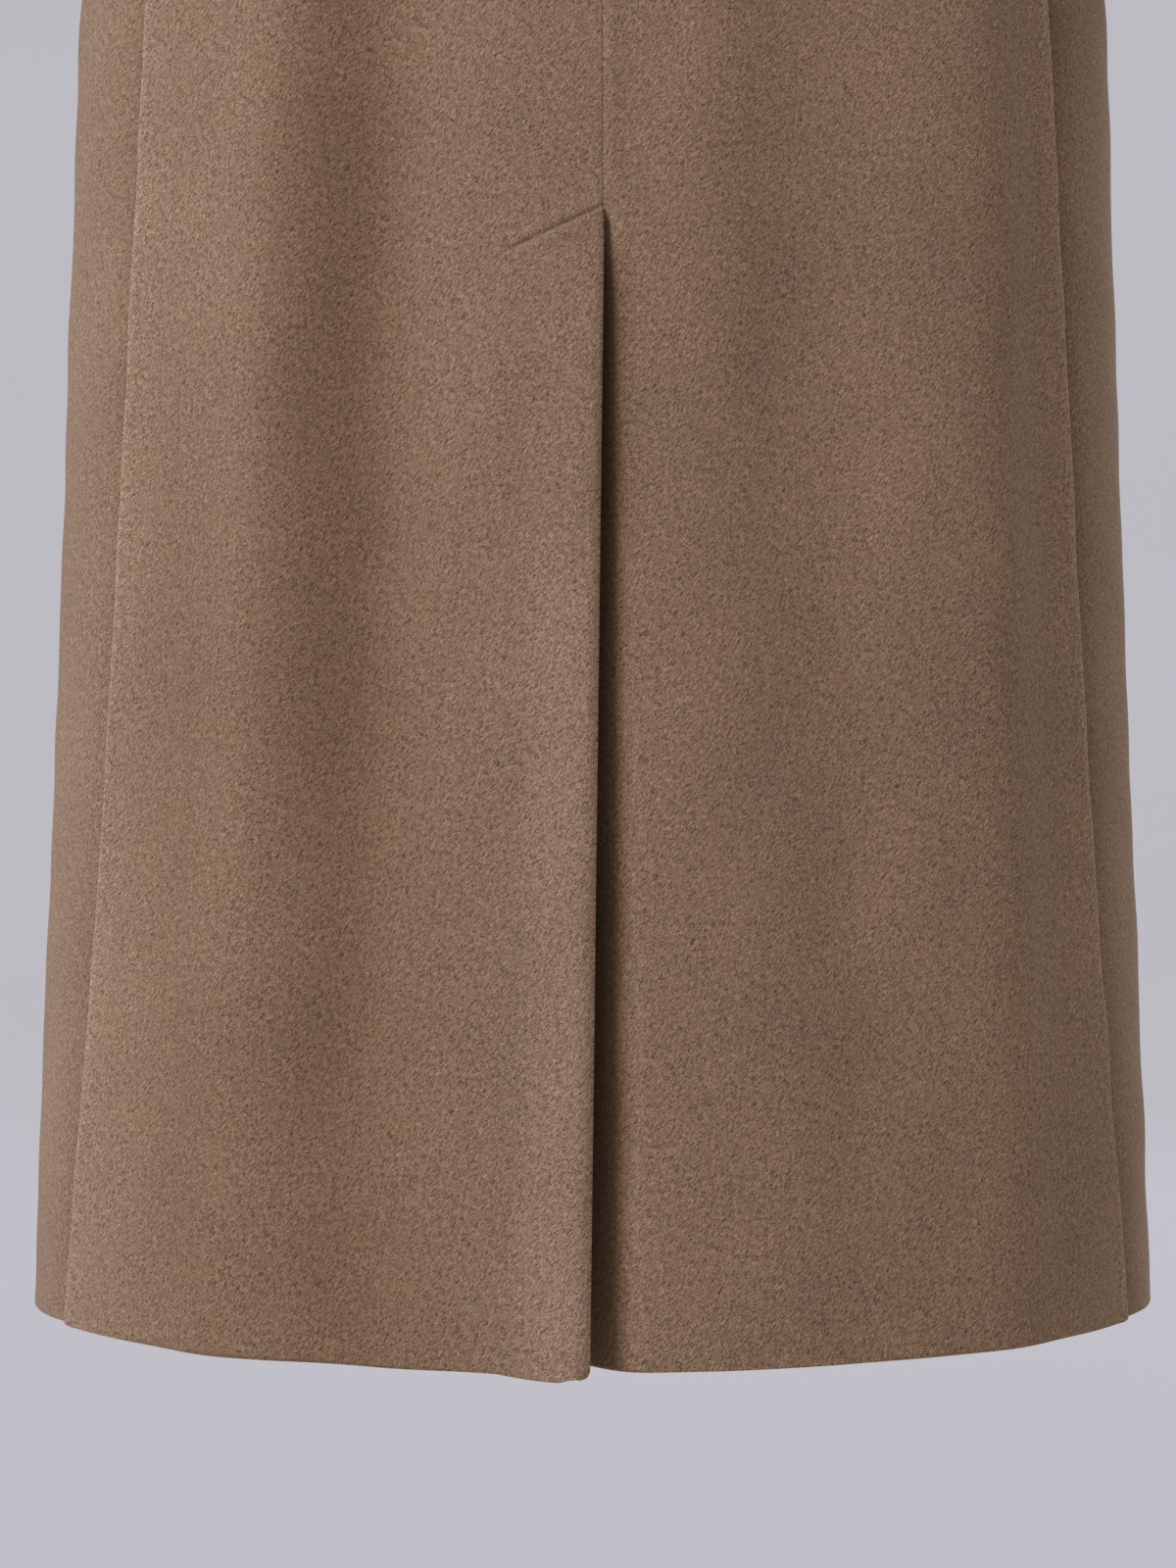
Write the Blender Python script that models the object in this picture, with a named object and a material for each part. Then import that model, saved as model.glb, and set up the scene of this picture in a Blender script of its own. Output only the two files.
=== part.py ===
import math

import bmesh
import bpy
import numpy as np
from mathutils import Matrix

# Long single-breasted overcoat in its worn, hollow form, in metres.
# The origin is where the wearer's shoulders carry it. +Z is up, the back faces +Y and the wearer's left is +X.

for old in list(bpy.data.objects):
    bpy.data.objects.remove(old, do_unlink=True)

# Cloth
CLOTH = 0.0026  # thickness of the felted wool
SEAM_GAP = 0.0003  # left between two pieces at a seam
SEAM_RADIUS = 0.21  # of the body at the seam behind the side, about

# Body of the coat
HEM = -1.160  # height of the hem
SCYE = -0.210  # height of the armhole's two lower corners
SCYE_DROP = 0.066  # how far the armhole dips between them
FRONT_SCYE_ANGLE = 113.0  # of the armhole's front corner, degrees from centre back
RING_POWER = 0.93  # 1 gives an ellipse, less gives a squarer ring

# A row for each ring of the body: its height, half its width, how far the centre back and the centre front
# lie from the middle, and the angle of the seam behind the side, in degrees from centre back
RING_COLUMNS = ("height", "half_width", "back", "front", "seam_angle")
RINGS = (
    (-1.160, 0.2853, 0.183, 0.190, 65.8),
    (-0.970, 0.2775, 0.176, 0.184, 61.7),
    (-0.850, 0.2728, 0.171, 0.180, 60.0),
    (-0.730, 0.2694, 0.166, 0.175, 58.5),
    (-0.610, 0.2665, 0.162, 0.170, 56.8),
    (-0.487, 0.2620, 0.155, 0.166, 55.3),
    (-0.390, 0.2470, 0.149, 0.163, 54.8),
    (-0.300, 0.2340, 0.150, 0.160, 55.4),
    (-0.210, 0.2280, 0.150, 0.154, 57.0),
)

# A row for each large soft fold: the angle at its top and bottom (positive on the wearer's left), the heights
# of both ends, how far it stands out (negative for a hollow) and half its width in degrees
FOLD_COLUMNS = ("angle_top", "angle_bottom", "top", "bottom", "out", "spread")
FOLDS = (
    (18.0, 23.0, -0.36, -1.02, -0.0060, 9.0),
    (36.0, 40.0, -0.38, -1.10, 0.0030, 9.0),
    (-21.0, -19.0, -0.38, -0.98, -0.0060, 8.5),
    (-40.0, -37.0, -0.40, -1.05, 0.0030, 8.0),
    (-88.0, -90.0, -0.40, -0.72, -0.0055, 5.0),
    (-102.0, -104.0, -0.40, -0.80, 0.0040, 7.0),
    (86.0, 88.0, -0.40, -0.66, -0.0025, 5.0),
    (118.0, 124.0, -0.46, -1.08, -0.0060, 9.0),
    (140.0, 142.0, -0.55, -1.16, 0.0050, 9.0),
    (-122.0, -118.0, -0.50, -1.10, -0.0060, 9.0),
    (-143.0, -146.0, -0.58, -1.16, 0.0050, 9.0),
)

# Vent at the centre back: the left back laps over the right back
VENT_TOP = -0.620
UNDERLAP_TOP = -0.631  # height at which the underlap starts
UNDERLAP = 0.042  # width of the right back that runs on under the left
UNDERLAP_SLANT = 0.45  # fall of its top edge across its width
EDGE_SWING = 0.0075  # of the lapped edge towards the left at the hem
EDGE_PROUD = 0.007  # of the lapped edge at the hem
EDGE_DROOP = 0.0045  # of the lapped corner below the hem
EDGE_SPREAD = 0.075  # width over which these three fade out
RECESS_TOP = CLOTH + 0.0008  # of the right back under the lapped edge
RECESS_HEM = 0.010

# Neck and shoulder, on the left
NAPE = (0.0, 0.062, 0.0)
NECK_POINT = (0.088, 0.004, 0.020)
SHOULDER_POINT = (0.228, 0.006, -0.028)
NECK_SHARE = 0.36  # share of the back's top edge that is neckline

# Front opening
FRONT_LAP = 0.028  # past the centre front
BREAK = -0.400  # height where the lapel starts to turn
FRONT_RECESS = 0.0100  # of the right front under the left one
UPPER_LENGTH = 0.25  # along a front from the armhole's corner to the shoulder seam, about

# Lapel, along its roll line from the break up to the gorge seam
GORGE_RISE = 0.315  # length of the roll line from the break to the gorge seam
GORGE_FALL = 0.48  # fall of the gorge seam away from the roll line
LAPEL_COLUMNS = ("share", "width")
LAPEL_WIDTHS = ((0.0, 0.004), (0.25, 0.032), (0.5, 0.060), (0.75, 0.084), (1.0, 0.098))

# Collar
COLLAR_STAND = 0.040
COLLAR_COVER = 0.12  # rows of the back that the collar covers at the centre
COLLAR_ON_SHOULDER = 0.40  # share of the shoulder seam that it covers
COLLAR_LEAF = 0.070  # width of its front end
COLLAR_NOTCH = 0.66  # share of that width sewn to the lapel
COLLAR_NOTCH_RISE = 0.036  # of its front corner above the end of the gorge seam
STAND_END = 1.34  # place along the collar where the stand has run out

# Sleeve, on the left: centre line by four control points, and a row for each ring down it
ARM_PATH = ((0.2985, 0.020, -0.262), (0.354, 0.050, -0.398), (0.346, -0.070, -0.394), (0.266, -0.222, -0.362))
ARM_COLUMNS = ("share", "across", "deep")
ARM_RINGS = ((0.0, 0.0650, 0.0740), (0.35, 0.0640, 0.0700), (0.6, 0.0610, 0.0630), (1.0, 0.0535, 0.0560))
# A row for each large fold at the elbow: its share down the arm, its angle round the arm from the top towards
# the back, how far it stands out (negative for a hollow), half its length as a share, half its width in degrees
ELBOW_COLUMNS = ("share", "angle", "out", "along", "round")
ELBOW_FOLDS = (
    (0.16, 288.0, -0.0045, 0.070, 42.0),
    (0.40, 272.0, -0.0130, 0.150, 60.0),
    (0.64, 288.0, -0.0050, 0.070, 40.0),
    (0.72, 262.0, 0.0030, 0.050, 34.0),
    (0.42, 95.0, 0.0050, 0.120, 50.0),
)
SLEEVE_BACK_ANGLE = 112.0  # round the sleeve from its top to the armhole's back corner, degrees
SLEEVE_FRONT_ANGLE = 246.0

# Buttons
BUTTON_HEIGHTS = (-0.425, -0.545, -0.665)
BUTTON_COLUMNS = ("radius", "height")
BUTTON_PROFILE = (
    (0.0, 0.0),
    (0.0085, 0.0),
    (0.0116, 0.0010),
    (0.0125, 0.0024),
    (0.0119, 0.0038),
    (0.0108, 0.0042),
    (0.0092, 0.0039),
    (0.0080, 0.0030),
    (0.0, 0.0028),
)
BUTTON_HOLE = 0.0012
BUTTON_HOLE_PITCH = 0.0030  # between two holes' centres

# Mesh rows and columns
BACK_U = (0.0, 0.08, 0.17, 0.26, NECK_SHARE, 0.46, 0.56, 0.67, 0.78, 0.89, 1.0)
UNDERLAP_U = (-1.0, -0.5)
LOWER_HEIGHTS = (-1.160, -1.110, -1.050, -0.990, -0.930, -0.870, -0.810, -0.750, -0.690, UNDERLAP_TOP, VENT_TOP,
                 -0.560, -0.500, -0.450, -0.400, -0.350, -0.300, -0.255, -0.210)
UPPER_CELLS = 8
FRONT_CELLS = 8  # from the front edge to the armhole's front corner
UNDERARM_CELLS = 7  # from there to the seam
CAP_CELLS = 7
ARM_CELLS = 13


def table(columns, rows, name):
    return np.array([row[columns.index(name)] for row in rows])


def hermite(start, end, leave, arrive, t):
    # Cubic from start to end that leaves and arrives with the given slopes
    return (
        start * (2 * t**3 - 3 * t**2 + 1)
        + leave * (t**3 - 2 * t**2 + t)
        + end * (3 * t**2 - 2 * t**3)
        + arrive * (t**3 - t**2)
    )


def through(at, values, where):
    # Smooth curve through a table's rows
    slopes = np.gradient(values, at)
    i = np.clip(np.searchsorted(at, where) - 1, 0, len(at) - 2)
    span = at[i + 1] - at[i]
    t = (where - at[i]) / span
    return hermite(values[i], values[i + 1], slopes[i] * span, slopes[i + 1] * span, t)


def ring_value(name, height):
    return through(table(RING_COLUMNS, RINGS, "height"), table(RING_COLUMNS, RINGS, name), height)


def ease(low, high, value):
    # 0 below low, 1 above high, a soft step between
    t = np.clip((value - low) / (high - low), 0.0, 1.0)
    return t * t * (3 - 2 * t)


def unit(vector):
    return vector / np.linalg.norm(vector, axis=-1, keepdims=True)


def stack(x, y, z):
    return np.stack(np.broadcast_arrays(x, y, z), axis=-1)


def fold_out(angle, height):
    # Sum of the soft folds at an angle (radians) and a height
    total = np.zeros(np.broadcast(angle, height).shape)
    for row in FOLDS:
        fold = dict(zip(FOLD_COLUMNS, row))
        along = np.clip((fold["top"] - height) / (fold["top"] - fold["bottom"]), 0.0, 1.0)
        centre = fold["angle_top"] + (fold["angle_bottom"] - fold["angle_top"]) * along
        across = (np.degrees(angle) - centre) / fold["spread"]
        total = total + fold["out"] * np.exp(-across * across) * np.sin(math.pi * along) ** 0.7
    return total


def ring_point(side, angle, height):
    # Point of the body at an angle from centre back; x is positive away from the centre on either side
    out = fold_out(side * angle, height)
    back = ring_value("back", height)
    front = ring_value("front", height)
    sine = np.sin(angle)
    cosine = np.cos(angle)
    x = (ring_value("half_width", height) + out) * np.sign(sine) * np.abs(sine) ** RING_POWER
    y = (np.where(cosine > 0, back, front) + out) * np.sign(cosine) * np.abs(cosine) ** RING_POWER
    return stack(x, y, height + 0 * angle)


def angle_at(x, height):
    # Angle from the centre line at which the ring has this x
    share = np.abs(x) / ring_value("half_width", height)
    return np.sign(x) * np.arcsin(np.clip(share, 0.0, 1.0) ** (1 / RING_POWER))


def seam_angle(height, toward_back):
    # Angle of the seam behind the side, half the gap to either side of it
    middle = np.radians(ring_value("seam_angle", height))
    return middle - toward_back * 0.5 * SEAM_GAP / SEAM_RADIUS


def vent_share(height):
    # 0 from the vent's top upwards, 1 at the hem
    return np.clip((VENT_TOP - height) / (VENT_TOP - HEM), 0.0, 1.0)


def back_lower(side, u, v):
    # Back below the armhole: u from centre back to the seam, v from the hem (0) to the armhole (1)
    height = HEM + v * (SCYE - HEM) + 0 * u
    down = vent_share(height)
    swing = EDGE_SWING * down if side > 0 else 0 * down
    inner = angle_at(0.5 * SEAM_GAP + swing, height)
    angle = inner + u * (seam_angle(height, 1.0) - inner)
    if side < 0:
        under = np.minimum(u, 0.0)
        angle = np.where(u < 0, inner + under * UNDERLAP / ring_value("back", height), angle)
        slant = UNDERLAP_SLANT * UNDERLAP * under * ease(UNDERLAP_TOP - 0.14, UNDERLAP_TOP, height)
        height = height + slant
    point = ring_point(side, angle, height)
    edge_x = point[..., 0] - swing
    if side > 0:
        near = 1 - ease(0.0, EDGE_SPREAD, edge_x)
        point[..., 1] += EDGE_PROUD * down**1.5 * near
        point[..., 2] -= EDGE_DROOP * down**3 * near
    else:
        reach = 0.020 + 0.040 * down
        near = 1 - ease(0.0, 1.0, edge_x / reach)
        depth = RECESS_TOP + (RECESS_HEM - RECESS_TOP) * down
        point[..., 1] -= depth * near * ease(0.0, 0.010, VENT_TOP - height)
    return point


def back_top(u):
    # Top edge of the back: the neckline, then the shoulder seam
    nape = np.array(NAPE)
    neck = np.array(NECK_POINT)
    shoulder = np.array(SHOULDER_POINT)
    turn = np.minimum(u / NECK_SHARE, 1.0) * math.pi / 2
    start_x = 0.5 * SEAM_GAP
    arc = stack(
        start_x + (neck[0] - start_x) * np.sin(turn),
        neck[1] + (nape[1] - neck[1]) * np.cos(turn),
        nape[2] + (neck[2] - nape[2]) * (1 - np.cos(turn)),
    )
    along = np.maximum((u - NECK_SHARE) / (1 - NECK_SHARE), 0.0)[..., None]
    point = np.where(along > 0, neck + (shoulder - neck) * along, arc)
    point[..., 1] += 0.5 * SEAM_GAP + 2 * SEAM_GAP * (1 - ease(0.0, 0.5, along[..., 0]))
    return point


def back_crown(u):
    # Soft line near the back's top edge that rounds off the corner at the neck point
    shoulder = np.array(SHOULDER_POINT)
    start_x = 0.5 * SEAM_GAP
    return stack(
        start_x + (shoulder[0] - start_x) * u,
        shoulder[1] + (NAPE[1] - shoulder[1]) * (1 - ease(0.0, 0.75, u)),
        shoulder[2] * u**2 + 0.10 * u**2 * (1 - u),
    )


def raised(lower, u, top, crown, over, v):
    # Upper part of a panel: a cubic from the armhole level up to a soft crown, drawn onto its top edge
    base = lower(u, np.ones_like(u))
    rise = unit(base - lower(u, np.full_like(u, 0.999)))
    chord = np.linalg.norm(crown - base, axis=-1, keepdims=True)
    t = (v - 1.0)[..., None]
    return hermite(base, crown, rise * chord * 0.85, unit(over) * chord * 0.85, t) + (top - crown) * t**5


def back(side, u, v):
    u, v = np.broadcast_arrays(np.asarray(u, float), np.asarray(v, float))

    def lower(at_u, at_v):
        return back_lower(side, at_u, at_v)

    flat = ease(0.0, NECK_SHARE, u)
    over = stack(0 * u, -0.55 - 0.45 * flat, 0.83 * (1 - flat))
    upper = raised(lower, u, back_top(u), back_crown(u), over, v)
    return np.where((v > 1.0)[..., None], upper, lower(u, np.minimum(v, 1.0)))


def roll_x(height):
    # Inner edge of a front: the front edge up to the break, then the straight roll line
    slope = (NECK_POINT[0] + FRONT_LAP) / (NECK_POINT[2] - BREAK)
    above = np.maximum(height - BREAK, 0.0)
    return -FRONT_LAP + slope * above * ease(-0.02, 0.05, above)


def scye_share():
    # u of the armhole's front corner at the armhole level
    inner = math.pi - angle_at(roll_x(SCYE), SCYE)
    seam = seam_angle(SCYE, -1.0)
    return float((math.radians(FRONT_SCYE_ANGLE) - inner) / (seam - inner))


FRONT_SCYE_U = scye_share()


def front_lower(side, u, v):
    # Front below the armhole: u from the front edge to the seam, v from the hem (0) to the armhole (1)
    height = HEM + v * (SCYE - HEM) + 0 * u
    inner = math.pi - angle_at(roll_x(height), height)
    angle = inner + u * (seam_angle(height, -1.0) - inner)
    under_arm = np.clip((u - FRONT_SCYE_U) / (1 - FRONT_SCYE_U), 0.0, 1.0)
    dip = SCYE_DROP * np.maximum(np.sin(math.pi * under_arm), 0.0) ** 0.75
    height = height - dip * ease(0.72, 1.0, v)
    point = ring_point(side, angle, height)
    if side < 0:
        near = 1 - ease(0.030, 0.085, point[..., 0])
        point[..., 1] += FRONT_RECESS * near * (1 - ease(-0.335, -0.213, height))
    return point


def front_top(share):
    # Shoulder seam from the neck (0) to the shoulder (1)
    neck = np.array(NECK_POINT)
    point = neck + (np.array(SHOULDER_POINT) - neck) * share[..., None]
    point[..., 1] -= 0.5 * SEAM_GAP
    return point


def front(side, u, v):
    u, v = np.broadcast_arrays(np.asarray(u, float), np.asarray(v, float))

    def lower(at_u, at_v):
        return front_lower(side, at_u, at_v)

    over = stack(0 * u, 1.0 + 0 * u, 0 * u)
    top = front_top(u / FRONT_SCYE_U)
    upper = raised(lower, u, top, top, over, v)
    return np.where((v > 1.0)[..., None], upper, lower(u, np.minimum(v, 1.0)))


def normal(surface, side, u, v, facing):
    # Outward direction of a panel, from two short steps along it
    u, v = np.broadcast_arrays(np.asarray(u, float), np.asarray(v, float))
    step = 0.0008
    forward = np.where(v == 1.0, -step, step)
    along = (surface(side, u, v + forward) - surface(side, u, v)) * np.sign(forward)[..., None]
    across = surface(side, u + step, v) - surface(side, u - step, v)
    return unit(np.cross(across, along)) * facing


def back_normal(side, u, v):
    return normal(back, side, u, v, -1.0)


def front_normal(side, u, v):
    return normal(front, side, u, v, 1.0)


def mirror(side, points):
    return points * np.array((side, 1.0, 1.0))


def wool():
    return material("felted_wool", (0.262, 0.168, 0.118), 0.95)


def material(name, colour, roughness):
    made = bpy.data.materials.get(name) or bpy.data.materials.new(name)
    made.use_nodes = True
    shader = made.node_tree.nodes["Principled BSDF"]
    shader.inputs["Base Color"].default_value = (*colour, 1.0)
    shader.inputs["Roughness"].default_value = roughness
    shader.inputs["Metallic"].default_value = 0.0
    return made


def place(name, shape, look):
    bmesh.ops.recalc_face_normals(shape, faces=shape.faces)
    mesh = bpy.data.meshes.new(name)
    shape.to_mesh(mesh)
    shape.free()
    mesh.shade_smooth()
    mesh.set_sharp_from_angle(angle=math.radians(50))
    mesh.materials.append(look)
    node = bpy.data.objects.new(name, mesh)
    bpy.context.scene.collection.objects.link(node)
    return node


def wall(name, outer, inner, keep=None):
    # Closed cloth wall: the outer grid, the inner grid and a rim along every free edge of the kept cells
    rows, columns = outer.shape[:2]
    if keep is None:
        keep = np.ones((rows - 1, columns - 1), bool)
    shape = bmesh.new()
    made = {}

    def vertex(layer, r, c):
        if (layer, r, c) not in made:
            made[layer, r, c] = shape.verts.new((outer, inner)[layer][r, c])
        return made[layer, r, c]

    edges = {}
    for r in range(rows - 1):
        for c in range(columns - 1):
            if not keep[r, c]:
                continue
            corners = ((r, c), (r, c + 1), (r + 1, c + 1), (r + 1, c))
            shape.faces.new([vertex(0, *corner) for corner in corners])
            shape.faces.new([vertex(1, *corner) for corner in reversed(corners)])
            for start, end in zip(corners, corners[1:] + corners[:1]):
                edges[start, end] = True
    for start, end in edges:
        if (end, start) not in edges:
            rim = (vertex(0, *end), vertex(0, *start), vertex(1, *start), vertex(1, *end))
            shape.faces.new(rim)
    return place(name, shape, wool())


def lower_rows():
    return [(height - HEM) / (SCYE - HEM) for height in LOWER_HEIGHTS]


def upper_rows():
    return [1.0 + (i + 1) / UPPER_CELLS for i in range(UPPER_CELLS)]


def make_back(side, name):
    rows = np.array(lower_rows() + upper_rows())
    columns = np.array((UNDERLAP_U if side < 0 else ()) + BACK_U)
    v, u = np.meshgrid(rows, columns, indexing="ij")
    outer = back(side, u, v)
    inner = outer - CLOTH * back_normal(side, u, v)
    keep = np.ones((len(rows) - 1, len(columns) - 1), bool)
    if side < 0:
        keep[LOWER_HEIGHTS.index(UNDERLAP_TOP) :, : len(UNDERLAP_U)] = False
    return wall(name, mirror(side, outer), mirror(side, inner), keep)


def front_columns():
    to_scye = FRONT_SCYE_U * np.linspace(0.0, 1.0, FRONT_CELLS + 1)
    under_arm = np.linspace(FRONT_SCYE_U, 1.0, UNDERARM_CELLS + 1)
    return np.concatenate([to_scye, under_arm[1:]])


def make_front(side, name):
    rows = np.array(lower_rows() + upper_rows())
    columns = front_columns()
    v, u = np.meshgrid(rows, columns, indexing="ij")
    outer = front(side, u, v)
    inner = outer - CLOTH * front_normal(side, u, v)
    keep = np.ones((len(rows) - 1, len(columns) - 1), bool)
    keep[len(LOWER_HEIGHTS) - 1 :, FRONT_CELLS:] = False
    return wall(name, mirror(side, outer), mirror(side, inner), keep)


def reach_at(side, v):
    # Length along the front for each unit of u, beside the roll line
    step = np.linalg.norm(front(side, 0.2 + 0 * v, v) - front(side, 0 * v, v), axis=-1)
    return step / 0.2


def front_row(rise):
    # Row of the front (v) at a length above the break
    lower_length = SCYE - BREAK
    below = (BREAK - HEM + rise) / (SCYE - HEM)
    return np.where(rise < lower_length, below, 1.0 + (rise - lower_length) / UPPER_LENGTH)


def lapel_spot(side, share, across):
    # u and v on the front under a point of the lapel
    width = across * through(
        table(LAPEL_COLUMNS, LAPEL_WIDTHS, "share"), table(LAPEL_COLUMNS, LAPEL_WIDTHS, "width"), share
    )
    v = front_row(GORGE_RISE * share - GORGE_FALL * width * share**2)
    return width / reach_at(side, v), v


def make_lapel(side, name):
    shares = np.linspace(0.0, 1.0, 13)
    acrosses = np.array((0.0, 0.12, 0.3, 0.5, 0.75, 1.0))
    share, across = np.meshgrid(shares, acrosses, indexing="ij")
    u, v = lapel_spot(side, share, across)
    face = front_normal(side, u, v)
    lift = 0.0011 + 0.0016 * ease(0.0, 0.35, across) * ease(0.15, 0.7, share)
    inner = front(side, u, v) + lift[..., None] * face
    outer = inner + CLOTH * face
    return wall(name, mirror(side, outer), mirror(side, inner))


def collar_frame(p):
    # Along the collar on the left, from centre back (0) by the shoulder (1) to its front end (2):
    # its foot on the neck seam, its crest, the way it stands and the way it turns out
    behind = np.minimum(p, 1.0)
    ahead = np.clip(p - 1.0, 0.0, 1.0)
    v = collar_row(ahead)
    flat = ease(0.0, 0.8, ahead)[..., None]
    rise = unit(stack(0.16 * behind, -0.12 - 0.10 * behind, 1.0 + 0 * p))
    face = front_normal(1, 0 * p, v)
    lean = unit(rise * (1 - flat) + face * flat)
    seam = np.where((p > 1.0)[..., None], front(1, 0 * p, v), back_top(behind * NECK_SHARE))
    spent = ease(0.0, 1.0, ahead)
    stand = COLLAR_STAND * (1 - 0.15 * behind) * (1 - spent) + 0.0050 * spent
    crest = seam + lean * stand[..., None]
    edge_u = behind * NECK_SHARE + COLLAR_ON_SHOULDER * (1 - NECK_SHARE) * behind**1.4
    edge_v = 2.0 - COLLAR_COVER * (1 - behind**2)
    edge_back = back(1, edge_u, edge_v) + 0.0040 * back_normal(1, edge_u, edge_v)
    lie_u, lie_v = leaf_spot(p, 1.0 + 0 * p)
    edge_front = front(1, lie_u, lie_v) + 0.0040 * front_normal(1, lie_u, lie_v)
    edge = np.where((p > 1.0)[..., None], edge_front, edge_back)
    run = edge - crest
    out = unit(run - lean * np.sum(run * lean, axis=-1, keepdims=True))
    return seam, crest, lean, out, edge


def collar_row(ahead):
    # Row of the front under the collar's crest, from the shoulder (0) to just above the gorge seam (1)
    return 2.0 - ahead * (2.0 - front_row(np.array(GORGE_RISE + 0.0035)))


def leaf_spot(p, down):
    # u and v on the front under the collar, down from its crest (0) to its edge (1)
    ahead = np.clip(p - 1.0, 0.0, 1.0)
    v = collar_row(ahead)
    reach = reach_at(1, v)
    width = COLLAR_ON_SHOULDER * FRONT_SCYE_U * reach * (1 - ahead) + COLLAR_LEAF * ahead
    fall = GORGE_FALL * COLLAR_LEAF * np.minimum(down, COLLAR_NOTCH)
    rise = COLLAR_NOTCH_RISE * np.maximum(down - COLLAR_NOTCH, 0.0) / (1 - COLLAR_NOTCH)
    return down * width / reach, v + (rise - fall) * ahead**2 / UPPER_LENGTH


def make_collar(stand_name, fall_name):
    stations = np.concatenate([np.linspace(0.0, 1.0, 7), np.linspace(1.0, STAND_END, 5)[1:]])
    rises = np.linspace(0.0, 1.0, 4)
    p, r = np.meshgrid(stations, rises, indexing="ij")
    seam, crest, lean, out, edge = collar_frame(p)
    foot = seam + lean * 3 * SEAM_GAP
    outer = foot + (crest - lean * 0.0042 - foot) * r[..., None]
    make_mirrored(stand_name, outer, outer - CLOTH * out)

    stations = np.concatenate([np.linspace(0.0, 1.0, 7), np.linspace(1.0, 2.0, 8)[1:]])
    downs = np.array((0.0, 0.14, 0.3, 0.48, COLLAR_NOTCH, 0.84, 1.0))
    p, down = np.meshgrid(stations, downs, indexing="ij")
    seam, crest, lean, out, edge = collar_frame(p)
    straight = crest + out * 0.0008 + (edge - crest) * down[..., None]
    lie_u, lie_v = leaf_spot(p, down)
    lie = front(1, lie_u, lie_v) + 0.0046 * front_normal(1, lie_u, lie_v)
    settle = ease(0.15, 0.85, np.clip(p - 1.0, 0.0, 1.0))[..., None]
    fall = straight + (lie - straight) * settle
    over = crest[:, :1] - out[:, :1] * 0.5 * CLOTH + lean[:, :1] * 0.0010
    tuck = crest[:, :1] - out[:, :1] * (CLOTH + 0.0008) - lean[:, :1] * 0.0020
    inner = np.concatenate([tuck, over, fall], axis=1)
    across = np.gradient(inner, axis=1)
    along = np.gradient(inner, axis=0)
    along[0] = (1.0, 0.0, 0.0)
    face = unit(np.cross(along, across))
    make_mirrored(fall_name, inner + CLOTH * face, inner)


def make_mirrored(name, outer, inner):
    # One piece of cloth across the centre, from its left half
    whole_outer = np.concatenate([mirror(-1, outer[:0:-1]), outer])
    whole_inner = np.concatenate([mirror(-1, inner[:0:-1]), inner])
    return wall(name, whole_outer, whole_inner)


def arm_point(t):
    # Cubic through the sleeve's four control points, and its direction
    points = np.array(ARM_PATH)
    t = np.asarray(t, float)[..., None]
    weights = ((1 - t) ** 3, 3 * t * (1 - t) ** 2, 3 * t**2 * (1 - t), t**3)
    slopes = (-3 * (1 - t) ** 2, 3 * (1 - t) * (1 - 3 * t), 3 * t * (2 - 3 * t), 3 * t**2)
    centre = sum(weight * point for weight, point in zip(weights, points))
    direction = unit(sum(slope * point for slope, point in zip(slopes, points)))
    return centre, direction


def scye(a):
    # Armhole loop from the shoulder point: down the back (0 to 1), under the arm (to 2), up the front (to 3)
    a = np.asarray(a, float)
    behind = back(1, np.ones_like(a), 2.0 - np.clip(a, 0.0, 1.0))
    below = front(1, 1.0 - np.clip(a - 1.0, 0.0, 1.0) * (1.0 - FRONT_SCYE_U), np.ones_like(a))
    ahead = front(1, np.full_like(a, FRONT_SCYE_U), 1.0 + np.clip(a - 2.0, 0.0, 1.0))
    return np.where((a <= 1.0)[..., None], behind, np.where((a <= 2.0)[..., None], below, ahead))


def sleeve_angle(a):
    # Angle round the sleeve from its top, towards the back, for a place on the armhole loop
    stops = np.radians((0.0, SLEEVE_BACK_ANGLE, SLEEVE_FRONT_ANGLE, 360.0))
    return np.interp(a, (0.0, 1.0, 2.0, 3.0), stops)


def elbow_out(turn, t):
    # Sum of the elbow's folds at an angle round the sleeve and a share down the arm
    total = np.zeros(np.broadcast(turn, t).shape)
    for row in ELBOW_FOLDS:
        fold = dict(zip(ELBOW_COLUMNS, row))
        away = (np.degrees(turn) - fold["angle"] + 180.0) % 360.0 - 180.0
        down = (t - fold["share"]) / fold["along"]
        total = total + fold["out"] * np.exp(-((away / fold["round"]) ** 2) - down * down)
    return total


def arm_ring(a, t):
    turn = sleeve_angle(a)
    centre, direction = arm_point(t)
    sideways = np.array((1.0, 0.0, 0.0))
    out = unit(sideways - direction * direction[..., :1])
    rear = np.cross(out, direction)
    shares = table(ARM_COLUMNS, ARM_RINGS, "share")
    across = through(shares, table(ARM_COLUMNS, ARM_RINGS, "across"), t)
    deep = through(shares, table(ARM_COLUMNS, ARM_RINGS, "deep"), t)
    fold = elbow_out(turn, t)
    across = (across + fold) * np.cos(turn)
    deep = (deep + fold) * np.sin(turn)
    return centre + out * across[..., None] + rear * deep[..., None]


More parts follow.
